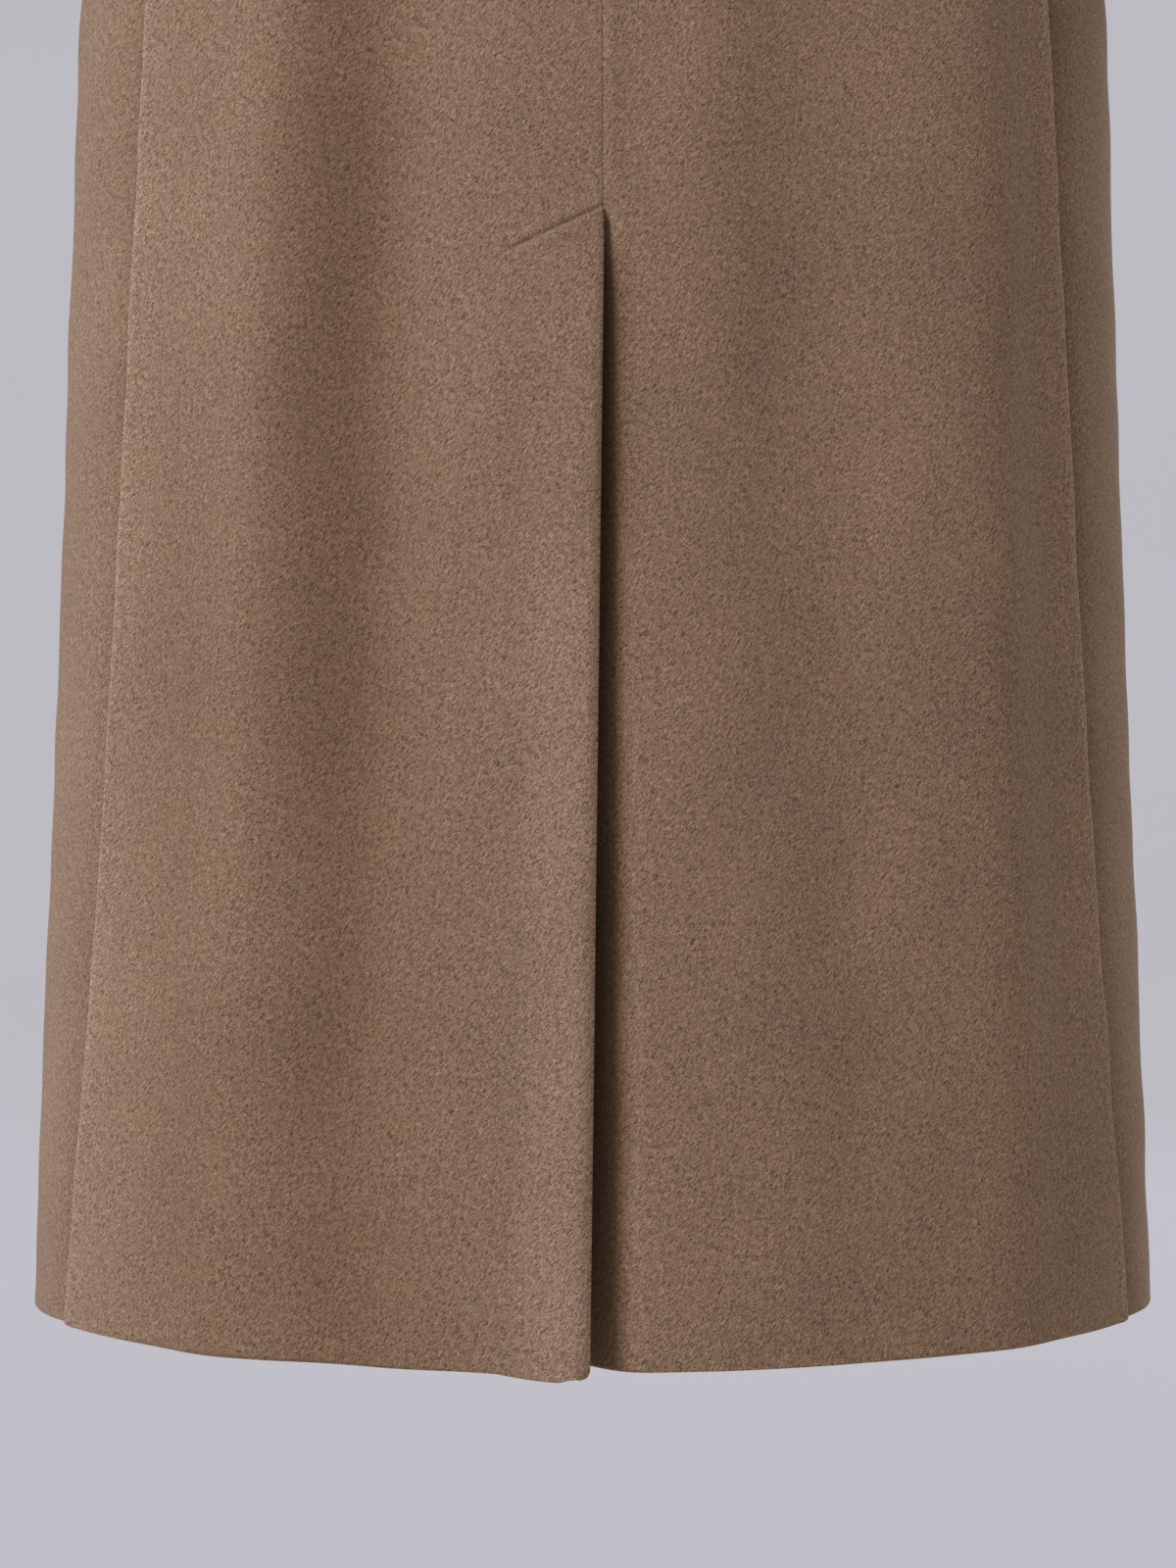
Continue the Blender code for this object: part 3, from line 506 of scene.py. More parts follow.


# closed shell of cloth: the outer grid, the same grid moved in by the thickness, and along every free edge
# a half-round rim; bulge is how far the rim stands out past the edge of the grid, start the column that
# the cloth is measured from, nap the painted highlight (plus) or painted shade (minus) at each point
def clothShell(name, points, normals, keep=None, turn=1.0, bulge=0.0010, nap=None, start=0):
    thick = coat["cloth"]
    rows, columns = points.shape[:2]
    if keep is None:
        keep = np.ones((rows - 1, columns - 1), bool)
    lengths = clothLengths(points, turn)
    lengths[..., 0] -= lengths[:, start, 0, None]
    lengths = lengths.reshape(-1, 2)
    index = np.arange(rows * columns).reshape(rows, columns)
    cells = np.stack([index[:-1, :-1], index[:-1, 1:], index[1:, 1:], index[1:, :-1]], axis=-1)[keep]
    flat, face = points.reshape(-1, 3), normals.reshape(-1, 3)
    diagonals = np.cross(flat[cells[:, 2]] - flat[cells[:, 0]], flat[cells[:, 3]] - flat[cells[:, 1]])
    if np.sum(diagonals * face[cells[:, 0]]) < 0:
        cells = cells[:, ::-1]
    area = 0.5 * float(np.linalg.norm(diagonals, axis=-1).sum())
    edges = np.concatenate([cells[:, [0, 1]], cells[:, [1, 2]], cells[:, [2, 3]], cells[:, [3, 0]]])
    _, inverse, count = np.unique(np.sort(edges, axis=1), axis=0, return_inverse=True, return_counts=True)
    rim = edges[count[inverse.reshape(-1)] == 1]
    outward = np.cross(unit(flat[rim[:, 1]] - flat[rim[:, 0]]), face[rim[:, 0]])
    summed = np.zeros_like(flat)
    np.add.at(summed, rim[:, 0], outward)
    np.add.at(summed, rim[:, 1], outward)
    border = np.unique(rim)
    away = unit(summed[border])
    outer = flat.copy()
    outer[border] -= away * bulge
    inner = outer - thick * face
    middle = outer[border] - 0.5 * thick * face[border]
    rounds = [
        middle + 0.5 * thick * math.cos(turnBy) * face[border] + bulge * math.sin(turnBy) * away
        for turnBy in (math.pi / 4, math.pi / 2, 3 * math.pi / 4)
    ]
    total = len(flat)
    place = np.zeros(total, int)
    place[border] = np.arange(len(border))
    layers = [rim] + [2 * total + k * len(border) + place[rim] for k in range(3)] + [total + rim]
    faces = [cells, total + cells[:, ::-1]]
    for upper, lower in zip(layers, layers[1:]):
        faces.append(np.stack([upper[:, 1], upper[:, 0], lower[:, 0], lower[:, 1]], axis=-1))
    vertices = np.concatenate([outer, inner] + rounds)
    uv = np.concatenate([lengths, lengths] + [lengths[border]] * 3)
    faces = np.concatenate(faces)
    used, faces = np.unique(faces, return_inverse=True)
    made = meshPiece(name, vertices[used], faces.reshape(-1, 4), uv[used])
    # painted highlight (plus) and painted shade (minus) on each point, kept as the nap attribute
    if nap is not None:
        laid = np.concatenate([nap.ravel(), nap.ravel()] + [nap.ravel()[border]] * 3)[used]
        values = made.data.attributes.new("nap", "FLOAT", "POINT").data
        values.foreach_set("value", np.ascontiguousarray(laid, np.float32))
    span = np.ptp(lengths[np.unique(cells)], axis=0)
    made["flatWide"], made["flatLong"], made["flatArea"] = float(span[0]), float(span[1]), area
    return made


def putIn(name, data):
    made = bpy.data.objects.new(name, data)
    scene.collection.objects.link(made)
    return made


# mesh object from arrays of faces, smooth, with its cloth lengths as a UV map
def meshPiece(name, vertices, faces, uv=None):
    faces = faces if isinstance(faces, list) else [faces]
    corners = np.concatenate([array.ravel() for array in faces]).astype(np.int32)
    sizes = np.concatenate([np.full(len(array), array.shape[1]) for array in faces])
    mesh = bpy.data.meshes.new(name)
    mesh.vertices.add(len(vertices))
    mesh.vertices.foreach_set("co", np.ascontiguousarray(vertices, np.float32).ravel())
    mesh.loops.add(len(corners))
    mesh.loops.foreach_set("vertex_index", corners)
    mesh.polygons.add(len(sizes))
    mesh.polygons.foreach_set("loop_start", np.concatenate([[0], np.cumsum(sizes)[:-1]]).astype(np.int32))
    mesh.polygons.foreach_set("use_smooth", np.ones(len(sizes), bool))
    mesh.update(calc_edges=True)
    mesh.validate()
    if uv is not None:
        layer = mesh.uv_layers.new(name="cloth")
        layer.uv.foreach_set("vector", np.ascontiguousarray(uv[corners], np.float32).ravel())
    return putIn(name, mesh)


# sRGB hex to the linear colour a shader takes
def linear(hexText):
    values = np.array([int(hexText[i : i + 2], 16) for i in (1, 3, 5)]) / 255.0
    made = np.where(values <= 0.04045, values / 12.92, ((values + 0.055) / 1.055) ** 2.4)
    return (*[float(value) for value in made], 1.0)


# an input given as a socket is linked, any other is set
def fill(tree, node, inputs):
    for name, value in inputs.items():
        if isinstance(value, bpy.types.NodeSocket):
            tree.links.new(value, node.inputs[name])
        else:
            node.inputs[name].default_value = value


def addNode(tree, kind, settings, inputs, output):
    node = tree.nodes.new(kind)
    for name, value in settings.items():
        setattr(node, name, value)
    fill(tree, node, inputs)
    return node.outputs[output]


# where on the piece, in metres
def spotOn(tree):
    return addNode(tree, "ShaderNodeTexCoord", {}, {}, "Object")


def noise(tree, vector, scale, detail, rough=0.5, swirl=0.0, kind="2D"):
    return addNode(tree, "ShaderNodeTexNoise", {"noise_dimensions": kind}, {
        "Vector": vector, "Scale": scale, "Detail": detail, "Roughness": rough, "Distortion": swirl,
    }, "Fac")


# noise space turned and stretched to the sizes given
def laidAlong(tree, vector, turn, size, place=(0.0, 0.0, 0.0)):
    return addNode(tree, "ShaderNodeMapping", {"vector_type": "TEXTURE"}, {
        "Vector": vector, "Rotation": turn, "Scale": size, "Location": place,
    }, "Vector")


def ranged(tree, value, low, high, toLow=0.0, toHigh=1.0):
    return addNode(tree, "ShaderNodeMapRange", {"clamp": True}, {
        "Value": value, "From Min": low, "From Max": high, "To Min": toLow, "To Max": toHigh,
    }, "Result")


def timesPlus(tree, value, times, plus):
    return addNode(tree, "ShaderNodeMath", {"operation": "MULTIPLY_ADD"}, {0: value, 1: times, 2: plus}, "Value")


def mixed(tree, factor, first, second):
    first, second = (linear(end) if isinstance(end, str) else end for end in (first, second))
    inputs = {"Factor": factor, "A": first, "B": second}
    return addNode(tree, "ShaderNodeMix", {"data_type": "RGBA"}, inputs, "Result")


def bumped(tree, height, strength, distance):
    return addNode(tree, "ShaderNodeBump", {}, {"Strength": strength, "Distance": distance, "Height": height}, "Normal")


def newMaterial(name):
    made = bpy.data.materials.new(name)
    made.use_nodes = True
    return made, made.node_tree, made.node_tree.nodes["Principled BSDF"]


wool = {
    "dark": "#554233",
    "light": "#ba9d87",
    "tan": "#977a5f",
    "mauve": "#8b7267",
    "hair": "#c9b7a6",
    "sheenTint": "#e2dad4",
    "lies": ((38.0, 1.0, 0.50), (-14.0, 0.8, 0.26), (82.0, 0.8, 0.24)),  # of the hairs: slant, stretch, weight
    "fibreWide": 0.00060,  # drawn a little coarser than real nap, so that it shows
    "fibreLong": 0.0025,
    "fibreShare": 0.86,  # how far the hairs cover the two browns below them
    "patch": 0.024,
    "slowPatch": 0.12,
    "patchRange": (0.36, 0.66),  # of the noise, and what it becomes
    "wornRange": (0.3, 0.7, 0.94, 1.05),
    "hairRange": (0.385, 0.615),
    "strayRange": (0.62, 0.72, 0.0, 0.5),
    "bump": 0.8,
    "bumpDistance": 0.0006,
    "sheen": 0.42,
    "paintedLightStrength": 0.60,  # how much paler the painted highlight makes the cloth and darker the painted shade, and how much greyer
    "paintedLightGreying": -0.30,
}


# felted wool overcoating, milled and raised: short hairs lie every way with a slant to the upper right,
# two close browns show through each other in patches, and grazing light catches the nap
def feltedWool():
    made, tree, shader = newMaterial("feltedWool")
    cloth = addNode(tree, "ShaderNodeUVMap", {"uv_map": "cloth"}, {}, "UV")
    nap = 0.0
    for slant, stretch, weight in wool["lies"]:
        size = (wool["fibreWide"], wool["fibreLong"] * stretch, 1.0)
        laid = laidAlong(tree, cloth, (0.0, 0.0, math.radians(slant)), size, (0.013 * slant, 0.007 * slant, 0.0))
        nap = timesPlus(tree, noise(tree, laid, 1.0, 2.0, swirl=1.0), weight, nap)
    patch = ranged(tree, noise(tree, cloth, 1.0 / wool["patch"], 3.0, 0.55, 0.3), *wool["patchRange"])
    worn = ranged(tree, noise(tree, cloth, 1.0 / wool["slowPatch"], 2.0), *wool["wornRange"])
    browns = mixed(tree, patch, wool["mauve"], wool["tan"])
    hairs = mixed(tree, ranged(tree, nap, *wool["hairRange"]), wool["dark"], wool["light"])
    both = mixed(tree, wool["fibreShare"], browns, hairs)
    stray = ranged(tree, nap, *wool["strayRange"])
    # painted highlight and painted shade from the nap attribute scale the colour's value and greyness
    flat = addNode(tree, "ShaderNodeAttribute", {"attribute_name": "nap"}, {}, "Fac")
    fill(tree, shader, {
        "Base Color": addNode(tree, "ShaderNodeHueSaturation", {}, {
            "Saturation": timesPlus(tree, flat, wool["paintedLightGreying"], 1.0),
            "Value": timesPlus(tree, flat, wool["paintedLightStrength"], worn),
            "Color": mixed(tree, stray, both, wool["hair"]),
        }, "Color"),
        "Normal": bumped(tree, nap, wool["bump"], wool["bumpDistance"]),
        "Roughness": 0.95,
        "Specular IOR Level": 0.12,
        "Sheen Weight": wool["sheen"],
        "Sheen Roughness": 0.45,
        "Sheen Tint": linear(wool["sheenTint"]),
    })
    return made


woolLook = feltedWool()


# dresses a node with its new piece of cloth: rides, replaces and states its cut
def dress(node, restsOn, points, face, held="hung", **shell):
    piece = clothShell("coat_" + node, points, face, **shell)
    piece.data.materials.append(woolLook)
    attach(piece, "root")
    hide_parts(node)
    wide, long, area = (round(piece[key], 4) for key in ("flatWide", "flatLong", "flatArea"))
    min(area, wide * long)
    print(node, "cut", wide, "x", long, "m, area", area, "m2,", len(piece.data.polygons) * 2, "triangles")


# slanting seam at the vent's top: a groove along a segment, a tick at its end, a soft puff of cloth below it
def ventStitch(points):
    x, z = points[..., 0], points[..., 2]
    endX, endZ = vent["stitchAcross"], vent["top"] - vent["stitchFall"]
    startX, startRise = vent["stitchStart"]
    away, share = segmentDistance(x, z, startX, vent["top"] + startRise, endX, endZ)
    groove = bell(away, vent["stitchWide"])
    tickAway, _ = segmentDistance(x, z, endX, endZ, endX + vent["tickLean"], endZ + vent["tick"])
    tick = 0.7 * bell(tickAway, vent["stitchWide"])
    below = vent["top"] - vent["stitchFall"] * x / vent["stitchAcross"] - z
    puff = 0.35 * bell(below - vent["puffBelow"], vent["puffWide"]) * (1 - ease(0.85, 1.05, share)) * (x > 0)
    return vent["stitchDepth"] * (puff - np.maximum(groove, tick))


# back panels, close grid lines at the edges, at the vent's top and at the hem
def makeBack(side, node):
    lower = steps(
        coat["hem"], (-1.154, 6), (-1.142, 4), (-0.660, 76), (-0.650, 5), (vent["underlapTop"], 26),
        (vent["top"], 15), (-0.612, 10), (coat["scye"], 66),
    )
    rows = np.concatenate([rowOf(lower), steps(1.0, (2.0, 46))[1:]])
    columns = steps(0.0, (0.010, 2), (0.19, 46), (neck["share"], 12), (0.93, 36), (0.965, 5), (0.995, 9), (1.0, 1))
    if side < 0:
        columns = np.concatenate([steps(-1.0, (-0.94, 2), (-0.32, 10), (0.0, 10))[:-1], columns])
    v, u = grid(rows, columns)
    points, face = panelGrid(backPoint, side, u, v)
    toSeam = (1.0 - u) * coat["backWide"]
    lift = swell(points, v)
    below = belowArm(points)
    proud = coat["seamProud"] * (1 - ease(0.0, coat["seamRise"], toSeam - coat["seamRoll"]))
    roll = np.maximum(1 - toSeam / coat["seamRoll"], 0.0) ** 2
    lift = lift + (proud - (coat["seamProud"] + coat["seamSunk"]) * roll) * below
    # painted highlight along the back's edge at the side seam
    nap = sum(share * np.exp(-toSeam / wide) for share, wide in coat["seamPaintedHighlight"]) * below
    # painted shade and painted light in bands along the folds of the left back
    for foldShade in rowsOf(paintedFoldShadeNames, paintedFoldShades):
        band = bell(points[..., 0] - foldShade["x"], foldShade["spread"])
        nap = nap + foldShade["share"] * band * (1 - ease(foldShade["full"], foldShade["start"], points[..., 2]))
    if side > 0:
        lift = lift + ventStitch(points)
    else:
        # painted shade of the vent's gap, darkest at the lapped edge, fading outwards and fading in below the vent's
        # top
        shade = (1 - ease(0.0, vent["ventPaintedShadeWide"], -points[..., 0])) * ease(0.0, 0.04, vent["top"] - points[..., 2])
        nap = nap - vent["ventPaintedShade"] * shade
        ridge = bell(points[..., 0] + coat["centreWide"], coat["centreWide"])
        lift = lift + coat["centreProud"] * ridge * ease(vent["top"], vent["top"] + 0.02, points[..., 2])
    points = points + lift[..., None] * face
    corner = np.maximum(1 - toSeam / coat["cornerWide"], 0.0) ** 2
    points[..., 2] += coat["cornerRise"] * corner * (1 - ease(0.0, coat["cornerHigh"], heightOf(v) - coat["hem"]))
    keep = np.ones((len(rows) - 1, len(columns) - 1), bool)
    if side < 0:
        keep[int(np.argmin(np.abs(lower - vent["underlapTop"]))) :, : int(np.sum(columns < 0))] = False
    restsOn = ["collar_stand", "front_" + wordOf[side]]
    dress(node, restsOn, points, face, keep=keep, turn=side, nap=nap, start=int(np.sum(columns < 0)))


def makeFront(side, node):
    lower = steps(coat["hem"], (-1.142, 8), (coat["scye"], 150))
    rows = np.concatenate([rowOf(lower), steps(1.0, (2.0, 46))[1:]])
    columns = np.concatenate([
        frontScyeU * steps(0.0, (0.012, 2), (0.20, 18), (0.985, 36), (1.0, 1)),
        steps(frontScyeU, (frontScyeU + 0.006, 1), (0.95, 40), (0.994, 9), (1.0, 1))[1:],
    ])
    v, u = grid(rows, columns)
    points, face = panelGrid(frontPoint, side, u, v)
    toSeam = (1.0 - u) * coat["frontWide"]
    sunk = np.exp(-toSeam / coat["seamFront"]) * belowArm(points)
    lift = swell(points, v) - coat["seamSunk"] * sunk
    # painted shade on the front beside the side seam, deeper on the right
    nap = -coat["frontPaintedShade"][side] * sunk
    points = points + lift[..., None] * face
    keep = np.ones((len(rows) - 1, len(columns) - 1), bool)
    keep[len(lower) - 1 :, int(np.sum(columns < frontScyeU - 1e-9)) :] = False
    dress(node, ["back_" + wordOf[side]], points, face, keep=keep, turn=-side, nap=nap)


for make, panel in ((makeBack, "back_"), (makeFront, "front_")):
    for side, word in sides:
        make(side, panel + word)
print("body panels made")


lapel = {
    "gorgeRise": 0.315,  # length of the roll line from the break to the gorge seam
    "gorgeFall": 0.48,
    "lift": 0.0011,
    "roll": 0.0016,
}
lapelNames = ("share", "width")
lapelWidths = ((0.0, 0.004), (0.25, 0.032), (0.5, 0.060), (0.75, 0.084), (1.0, 0.098))


# length along the front for each unit of u, beside the roll line
def reachAt(side, v):
    return np.linalg.norm(frontPoint(side, 0.2 + 0 * v, v) - frontPoint(side, 0 * v, v), axis=-1) / 0.2


# row of the front at a length above the break
def frontRow(rise):
    lowerLength = coat["scye"] - front["break"]
    below = rowOf(front["break"] + rise)
    return np.where(rise < lowerLength, below, 1.0 + (rise - lowerLength) / front["upperLength"])


# lapel: the front's own points under it, moved out by the cloth below and a soft roll
def makeLapel(side, node):
    share, across = grid(steps(0.0, (0.015, 1), (0.985, 58), (1.0, 1)), steps(0.0, (0.03, 1), (0.97, 30), (1.0, 1)))
    width = across * smoothThrough(lapelNames, lapelWidths, "width", share)
    v = frontRow(lapel["gorgeRise"] * share - lapel["gorgeFall"] * width * share**2)
    u = width / reachAt(side, v)
    points, face = panelGrid(frontPoint, side, u, v)
    lift = lapel["lift"] + lapel["roll"] * ease(0.0, 0.35, across) * ease(0.15, 0.7, share) + coat["cloth"]
    points = points + (lift + swell(points, v))[..., None] * face
    dress(node, ["front_" + wordOf[side]], points, face, "folded", turn=-side, bulge=0.0012)


for side, word in sides:
    makeLapel(side, "lapel_" + word)

collar = {
    "stand": 0.040,  # height behind, height at its front end, and how far it stays below the crest
    "standFront": 0.0050,
    "underCrest": 0.0042,
    "crestOff": 0.0008,  # of the fall out from the crest, its rise over it, and its tuck behind it
    "over": 0.0010,
    "tuck": 0.0020,
    "cover": 0.12,  # rows of the back that it covers at the centre
    "onShoulder": 0.40,
    "leaf": 0.070,
    "notch": 0.66,
    "notchRise": 0.036,
    "puff": 0.0022,  # of the fall behind, between its crest and its edge
    "edgeOff": 0.0040,  # of the fall's edge, and of its front part, from the coat's face
    "leafOff": 0.0046,
    "standEnd": 1.86,  # it runs on, ever lower, under the front of the fall and closes the slit there
}


def collarRow(ahead):
    return 2.0 - ahead * (2.0 - frontRow(np.array(lapel["gorgeRise"] + 0.0035)))


# u and v on the front under the collar, down from its crest (0) to its edge (1)
def leafSpot(p, down):
    ahead = within(p - 1.0)
    v = collarRow(ahead)
    reach = reachAt(1, v)
    width = collar["onShoulder"] * frontScyeU * reach * (1 - ahead) + collar["leaf"] * ahead
    fall = lapel["gorgeFall"] * collar["leaf"] * np.minimum(down, collar["notch"])
    rise = collar["notchRise"] * np.maximum(down - collar["notch"], 0.0) / (1 - collar["notch"])
    return down * width / reach, v + (rise - fall) * ahead**2 / front["upperLength"]


# along the collar from the centre back (0) by the shoulder (1) to its front end (2):
# foot on the neck seam, crest, the way it stands, the way it turns out, and its outer edge
def collarFrame(p):
    behind = np.minimum(p, 1.0)
    ahead = within(p - 1.0)
    v = collarRow(ahead)
    flat = ease(0.0, 0.8, ahead)[..., None]
    rise = unit(stack(0.16 * behind, -0.12 - 0.10 * behind, 1.0 + 0 * p))
    lean = unit(rise * (1 - flat) + panelNormal(frontPoint, 1, 0 * p, v) * flat)
    seam = np.where((p > 1.0)[..., None], frontPoint(1, 0 * p, v), backTop(behind * neck["share"]))
    spent = ease(0.0, 1.0, ahead)
    stand = collar["stand"] * (1 - 0.15 * behind) * (1 - spent) + collar["standFront"] * spent
    crest = seam + lean * stand[..., None]
    edgeU = behind * neck["share"] + collar["onShoulder"] * (1 - neck["share"]) * behind**1.4
    edgeV = 2.0 - collar["cover"] * (1 - behind**2)
    edgeBack = offPanel(backPoint, edgeU, edgeV, collar["edgeOff"])
    edgeFront = offPanel(frontPoint, *leafSpot(p, 1.0 + 0 * p), collar["edgeOff"])
    edge = np.where((p > 1.0)[..., None], edgeFront, edgeBack)
    run = edge - crest
    out = unit(run - lean * np.sum(run * lean, axis=-1, keepdims=True))
    return seam, crest, lean, out, edge


def acrossCentre(half):
    return np.concatenate([mirrored(-1, half[:0:-1]), half])


def makeStand(node):
    p, rise = grid(steps(0.0, (1.0, 40), (collar["standEnd"], 32)), steps(0.0, (1.0, 10)))
    seam, crest, lean, out, _ = collarFrame(p)
    foot = seam + lean * 3 * coat["seamGap"]
    points = acrossCentre(foot + (crest - lean * collar["underCrest"] - foot) * rise[..., None])
    dress(node, ["back_left", "back_right"], points, acrossCentre(out), "folded", bulge=0.0008)


# fall of the collar: a straight run from crest to edge behind, settling onto the front's own points ahead,
# with its inner edge tucked over the crest
def makeFall(node):
    p, down = grid(steps(0.0, (1.0, 46), (2.0, 50)), steps(0.0, (collar["notch"], 22), (1.0, 12)))
    _, crest, lean, out, edge = collarFrame(p)
    straight = crest + out * collar["crestOff"] + (edge - crest) * down[..., None]
    puff = collar["puff"] * np.sin(math.pi * down) * (1 - ease(0.9, 1.5, p))
    straight = straight + unit(out + lean) * puff[..., None]
    lie = offPanel(frontPoint, *leafSpot(p, down), collar["leafOff"])
    settle = ease(0.15, 0.85, within(p - 1.0))[..., None]
    fall = straight + (lie - straight) * settle
    first, firstLean = out[:, :1], lean[:, :1]
    over = crest[:, :1] - first * 0.5 * coat["cloth"] + firstLean * collar["over"]
    tuck = crest[:, :1] - first * (coat["cloth"] + collar["crestOff"]) - firstLean * collar["tuck"]
    inner = np.concatenate([tuck, over, fall], axis=1)
    along = np.gradient(inner, axis=0)
    along[0] = (1.0, 0.0, 0.0)
    face = unit(np.cross(along, np.gradient(inner, axis=1)))
    points = acrossCentre(inner + coat["cloth"] * face)
    dress(node, ["collar_stand", "lapel_left", "lapel_right"], points, acrossCentre(face), "folded")


makeStand("collar_stand")
makeFall("collar_fall")
print("lapels and collar made")


sleeve = {
    "path": ((0.2985, 0.020, -0.262), (0.354, 0.050, -0.398), (0.346, -0.070, -0.394), (0.266, -0.222, -0.362)),
    "backAngle": 112.0,
    "frontAngle": 246.0,
    "inset": -0.0022,  # of the long seams' edges, past each other
    "backSeam": 0.875,  # places on the armhole loop
    "frontSeam": 2.25,
    "head": 0.0010,  # fullness of the sleeve head beside the armhole
}
armNames = ("share", "across", "deep")
armRings = ((0.0, 0.0650, 0.0740), (0.35, 0.0640, 0.0700), (0.6, 0.0610, 0.0630), (1.0, 0.0535, 0.0560))
# folds and creases of the sleeve: share down the arm, angle round it from the top towards the back,
# out (minus is a trough), half length as a share, half width in degrees, slant in shares for each degree
elbowNames = ("share", "angle", "out", "along", "round", "slant")
elbowFolds = (
    (0.16, 288.0, -0.0045, 0.070, 42.0, 0.0),
    (0.33, 292.0, -0.0040, 0.030, 38.0, 0.0010),
    (0.47, 296.0, -0.0044, 0.028, 40.0, -0.0011),
    (0.40, 306.0, 0.0030, 0.030, 34.0, 0.0),
    (0.38, 232.0, 0.0026, 0.030, 30.0, 0.0),
    (0.40, 272.0, -0.0130, 0.150, 60.0, 0.0),
    (0.64, 288.0, -0.0050, 0.070, 40.0, 0.0),
    (0.72, 262.0, 0.0030, 0.050, 34.0, 0.0),
    (0.42, 95.0, 0.0050, 0.120, 50.0, 0.0),
    (0.27, 322.0, -0.0030, 0.026, 30.0, 0.0014),
    (0.55, 326.0, -0.0030, 0.026, 32.0, -0.0014),
    (0.30, 218.0, -0.0034, 0.028, 28.0, -0.0014),
    (0.52, 214.0, -0.0032, 0.026, 28.0, 0.0014),
    (0.22, 350.0, -0.0014, 0.034, 34.0, 0.0016),
    (0.60, 356.0, 0.0014, 0.030, 30.0, -0.0014),
    (0.08, 60.0, -0.0016, 0.036, 40.0, 0.0020),
    (0.82, 30.0, -0.0012, 0.030, 46.0, 0.0012),
    (0.86, 250.0, -0.0014, 0.034, 40.0, -0.0012),
)


# cubic through the sleeve's four control points, and its direction
def armPoint(t):
    points = np.array(sleeve["path"])
    t = np.asarray(t, float)[..., None]
    weights = ((1 - t) ** 3, 3 * t * (1 - t) ** 2, 3 * t**2 * (1 - t), t**3)
    slopes = (-3 * (1 - t) ** 2, 3 * (1 - t) * (1 - 3 * t), 3 * t * (2 - 3 * t), 3 * t**2)
    centre = sum(weight * point for weight, point in zip(weights, points))
    return centre, unit(sum(slope * point for slope, point in zip(slopes, points)))


# armhole loop from the shoulder: down the back (0 to 1), under the arm (to 2), up the front (to 3)
def scyePoint(a):
    behind = backPoint(1, np.ones_like(a), 2.0 - within(a))
    below = frontPoint(1, 1.0 - within(a - 1.0) * (1.0 - frontScyeU), np.ones_like(a))
    ahead = frontPoint(1, np.full_like(a, frontScyeU), 1.0 + within(a - 2.0))
    return np.where((a <= 1.0)[..., None], behind, np.where((a <= 2.0)[..., None], below, ahead))


def sleeveTurn(a):
    return np.interp(a, (0.0, 1.0, 2.0, 3.0), np.radians((0.0, sleeve["backAngle"], sleeve["frontAngle"], 360.0)))


# sum of the sleeve's folds: a bell round the arm times a bell along it, the line slanting if asked
def elbowOut(turn, t):
    total = 0.0
    for fold in rowsOf(elbowNames, elbowFolds):
        away = (np.degrees(turn) - fold["angle"] + 180.0) % 360.0 - 180.0
        down = t - fold["share"] - fold["slant"] * away
        total = total + fold["out"] * bell(away, fold["round"]) * bell(down, fold["along"])
    return total


# ring of the sleeve: an ellipse square to the arm's line, moved out by the folds
def armRing(a, t):
    turn = sleeveTurn(a)
    centre, direction = armPoint(t)
    out = unit(np.array((1.0, 0.0, 0.0)) - direction * direction[..., :1])
    rear = np.cross(out, direction)
    fold = elbowOut(turn, t)
    across = (smoothThrough(armNames, armRings, "across", t) + fold) * np.cos(turn)
    deep = (smoothThrough(armNames, armRings, "deep", t) + fold) * np.sin(turn)
    return centre + out * across[..., None] + rear * deep[..., None]


# sleeve: a cubic from the armhole (s 0) to the arm's first ring (s 1), then ring after ring to the cuff (s 2)
def sleevePoint(a, s):
    a, s = paired(np.mod(a, 3.0), s)
    high = (0.5 * (1 + np.cos(sleeveTurn(a))))[..., None]
    start = scyePoint(a) + (coat["seamGap"] + 0.0006 * (1 - high)) * np.array((1.0, 0.0, 0.0))
    direction = armPoint(0.0)[1]
    leave = unit(high * np.array((1.0, 0.0, -0.10)) + (1 - high) * np.array((0.9, 0.0, -0.5))) * (0.03 + 0.19 * high)
    arrive = direction * (0.02 + 0.22 * high)
    cap = hermite(start, armRing(a, np.zeros_like(a)), leave, arrive, np.minimum(s, 1.0)[..., None])
    return np.where((s > 1.0)[..., None], armRing(a, within(s - 1.0)), cap)


def makeSleeve(side, node, stops):
    s, a = grid(steps(0.0, (0.02, 1), (1.0, 44), (1.985, 84), (2.0, 2)), stops)
    points = sleevePoint(a, s)
    step = 0.004
    along = sleevePoint(a, np.minimum(s + step, 2.0)) - sleevePoint(a, np.maximum(s - step, 0.0))
    around = sleevePoint(a + step, s) - sleevePoint(a - step, s)
    face = unit(np.cross(around, along))
    face[0, :, 0] = np.minimum(face[0, :, 0], 0.0)
    face = mirrored(side, unit(face))
    points = mirrored(side, points)
    head = sleeve["head"] * bell(s - 0.16, 0.12) * ease(-0.22, -0.06, points[..., 2])
    lift = uneven(points) * ease(0.0, 0.3, s) + head
    points = points + lift[..., None] * face
    dress(node, ["front_" + wordOf[side], "back_" + wordOf[side]], points, face, turn=side)


# columns round the loop, with a narrow one along each long seam
inset, nearEdge, ahead, behind = sleeve["inset"], 0.02, sleeve["frontSeam"], sleeve["backSeam"]
topStops = steps(
    ahead + inset, (ahead + nearEdge, 1), (3.0, 30), (3.0 + behind - nearEdge, 32), (3.0 + behind - inset, 1)
)
underStops = steps(
    behind + inset, (behind + nearEdge, 1), (1.0, 5), (2.0, 36), (ahead - nearEdge, 9), (ahead - inset, 1)
)
for side, word in sides:
    makeSleeve(side, "sleeve_top_" + word, topStops)
    makeSleeve(side, "sleeve_under_" + word, underStops)
print("sleeves made")


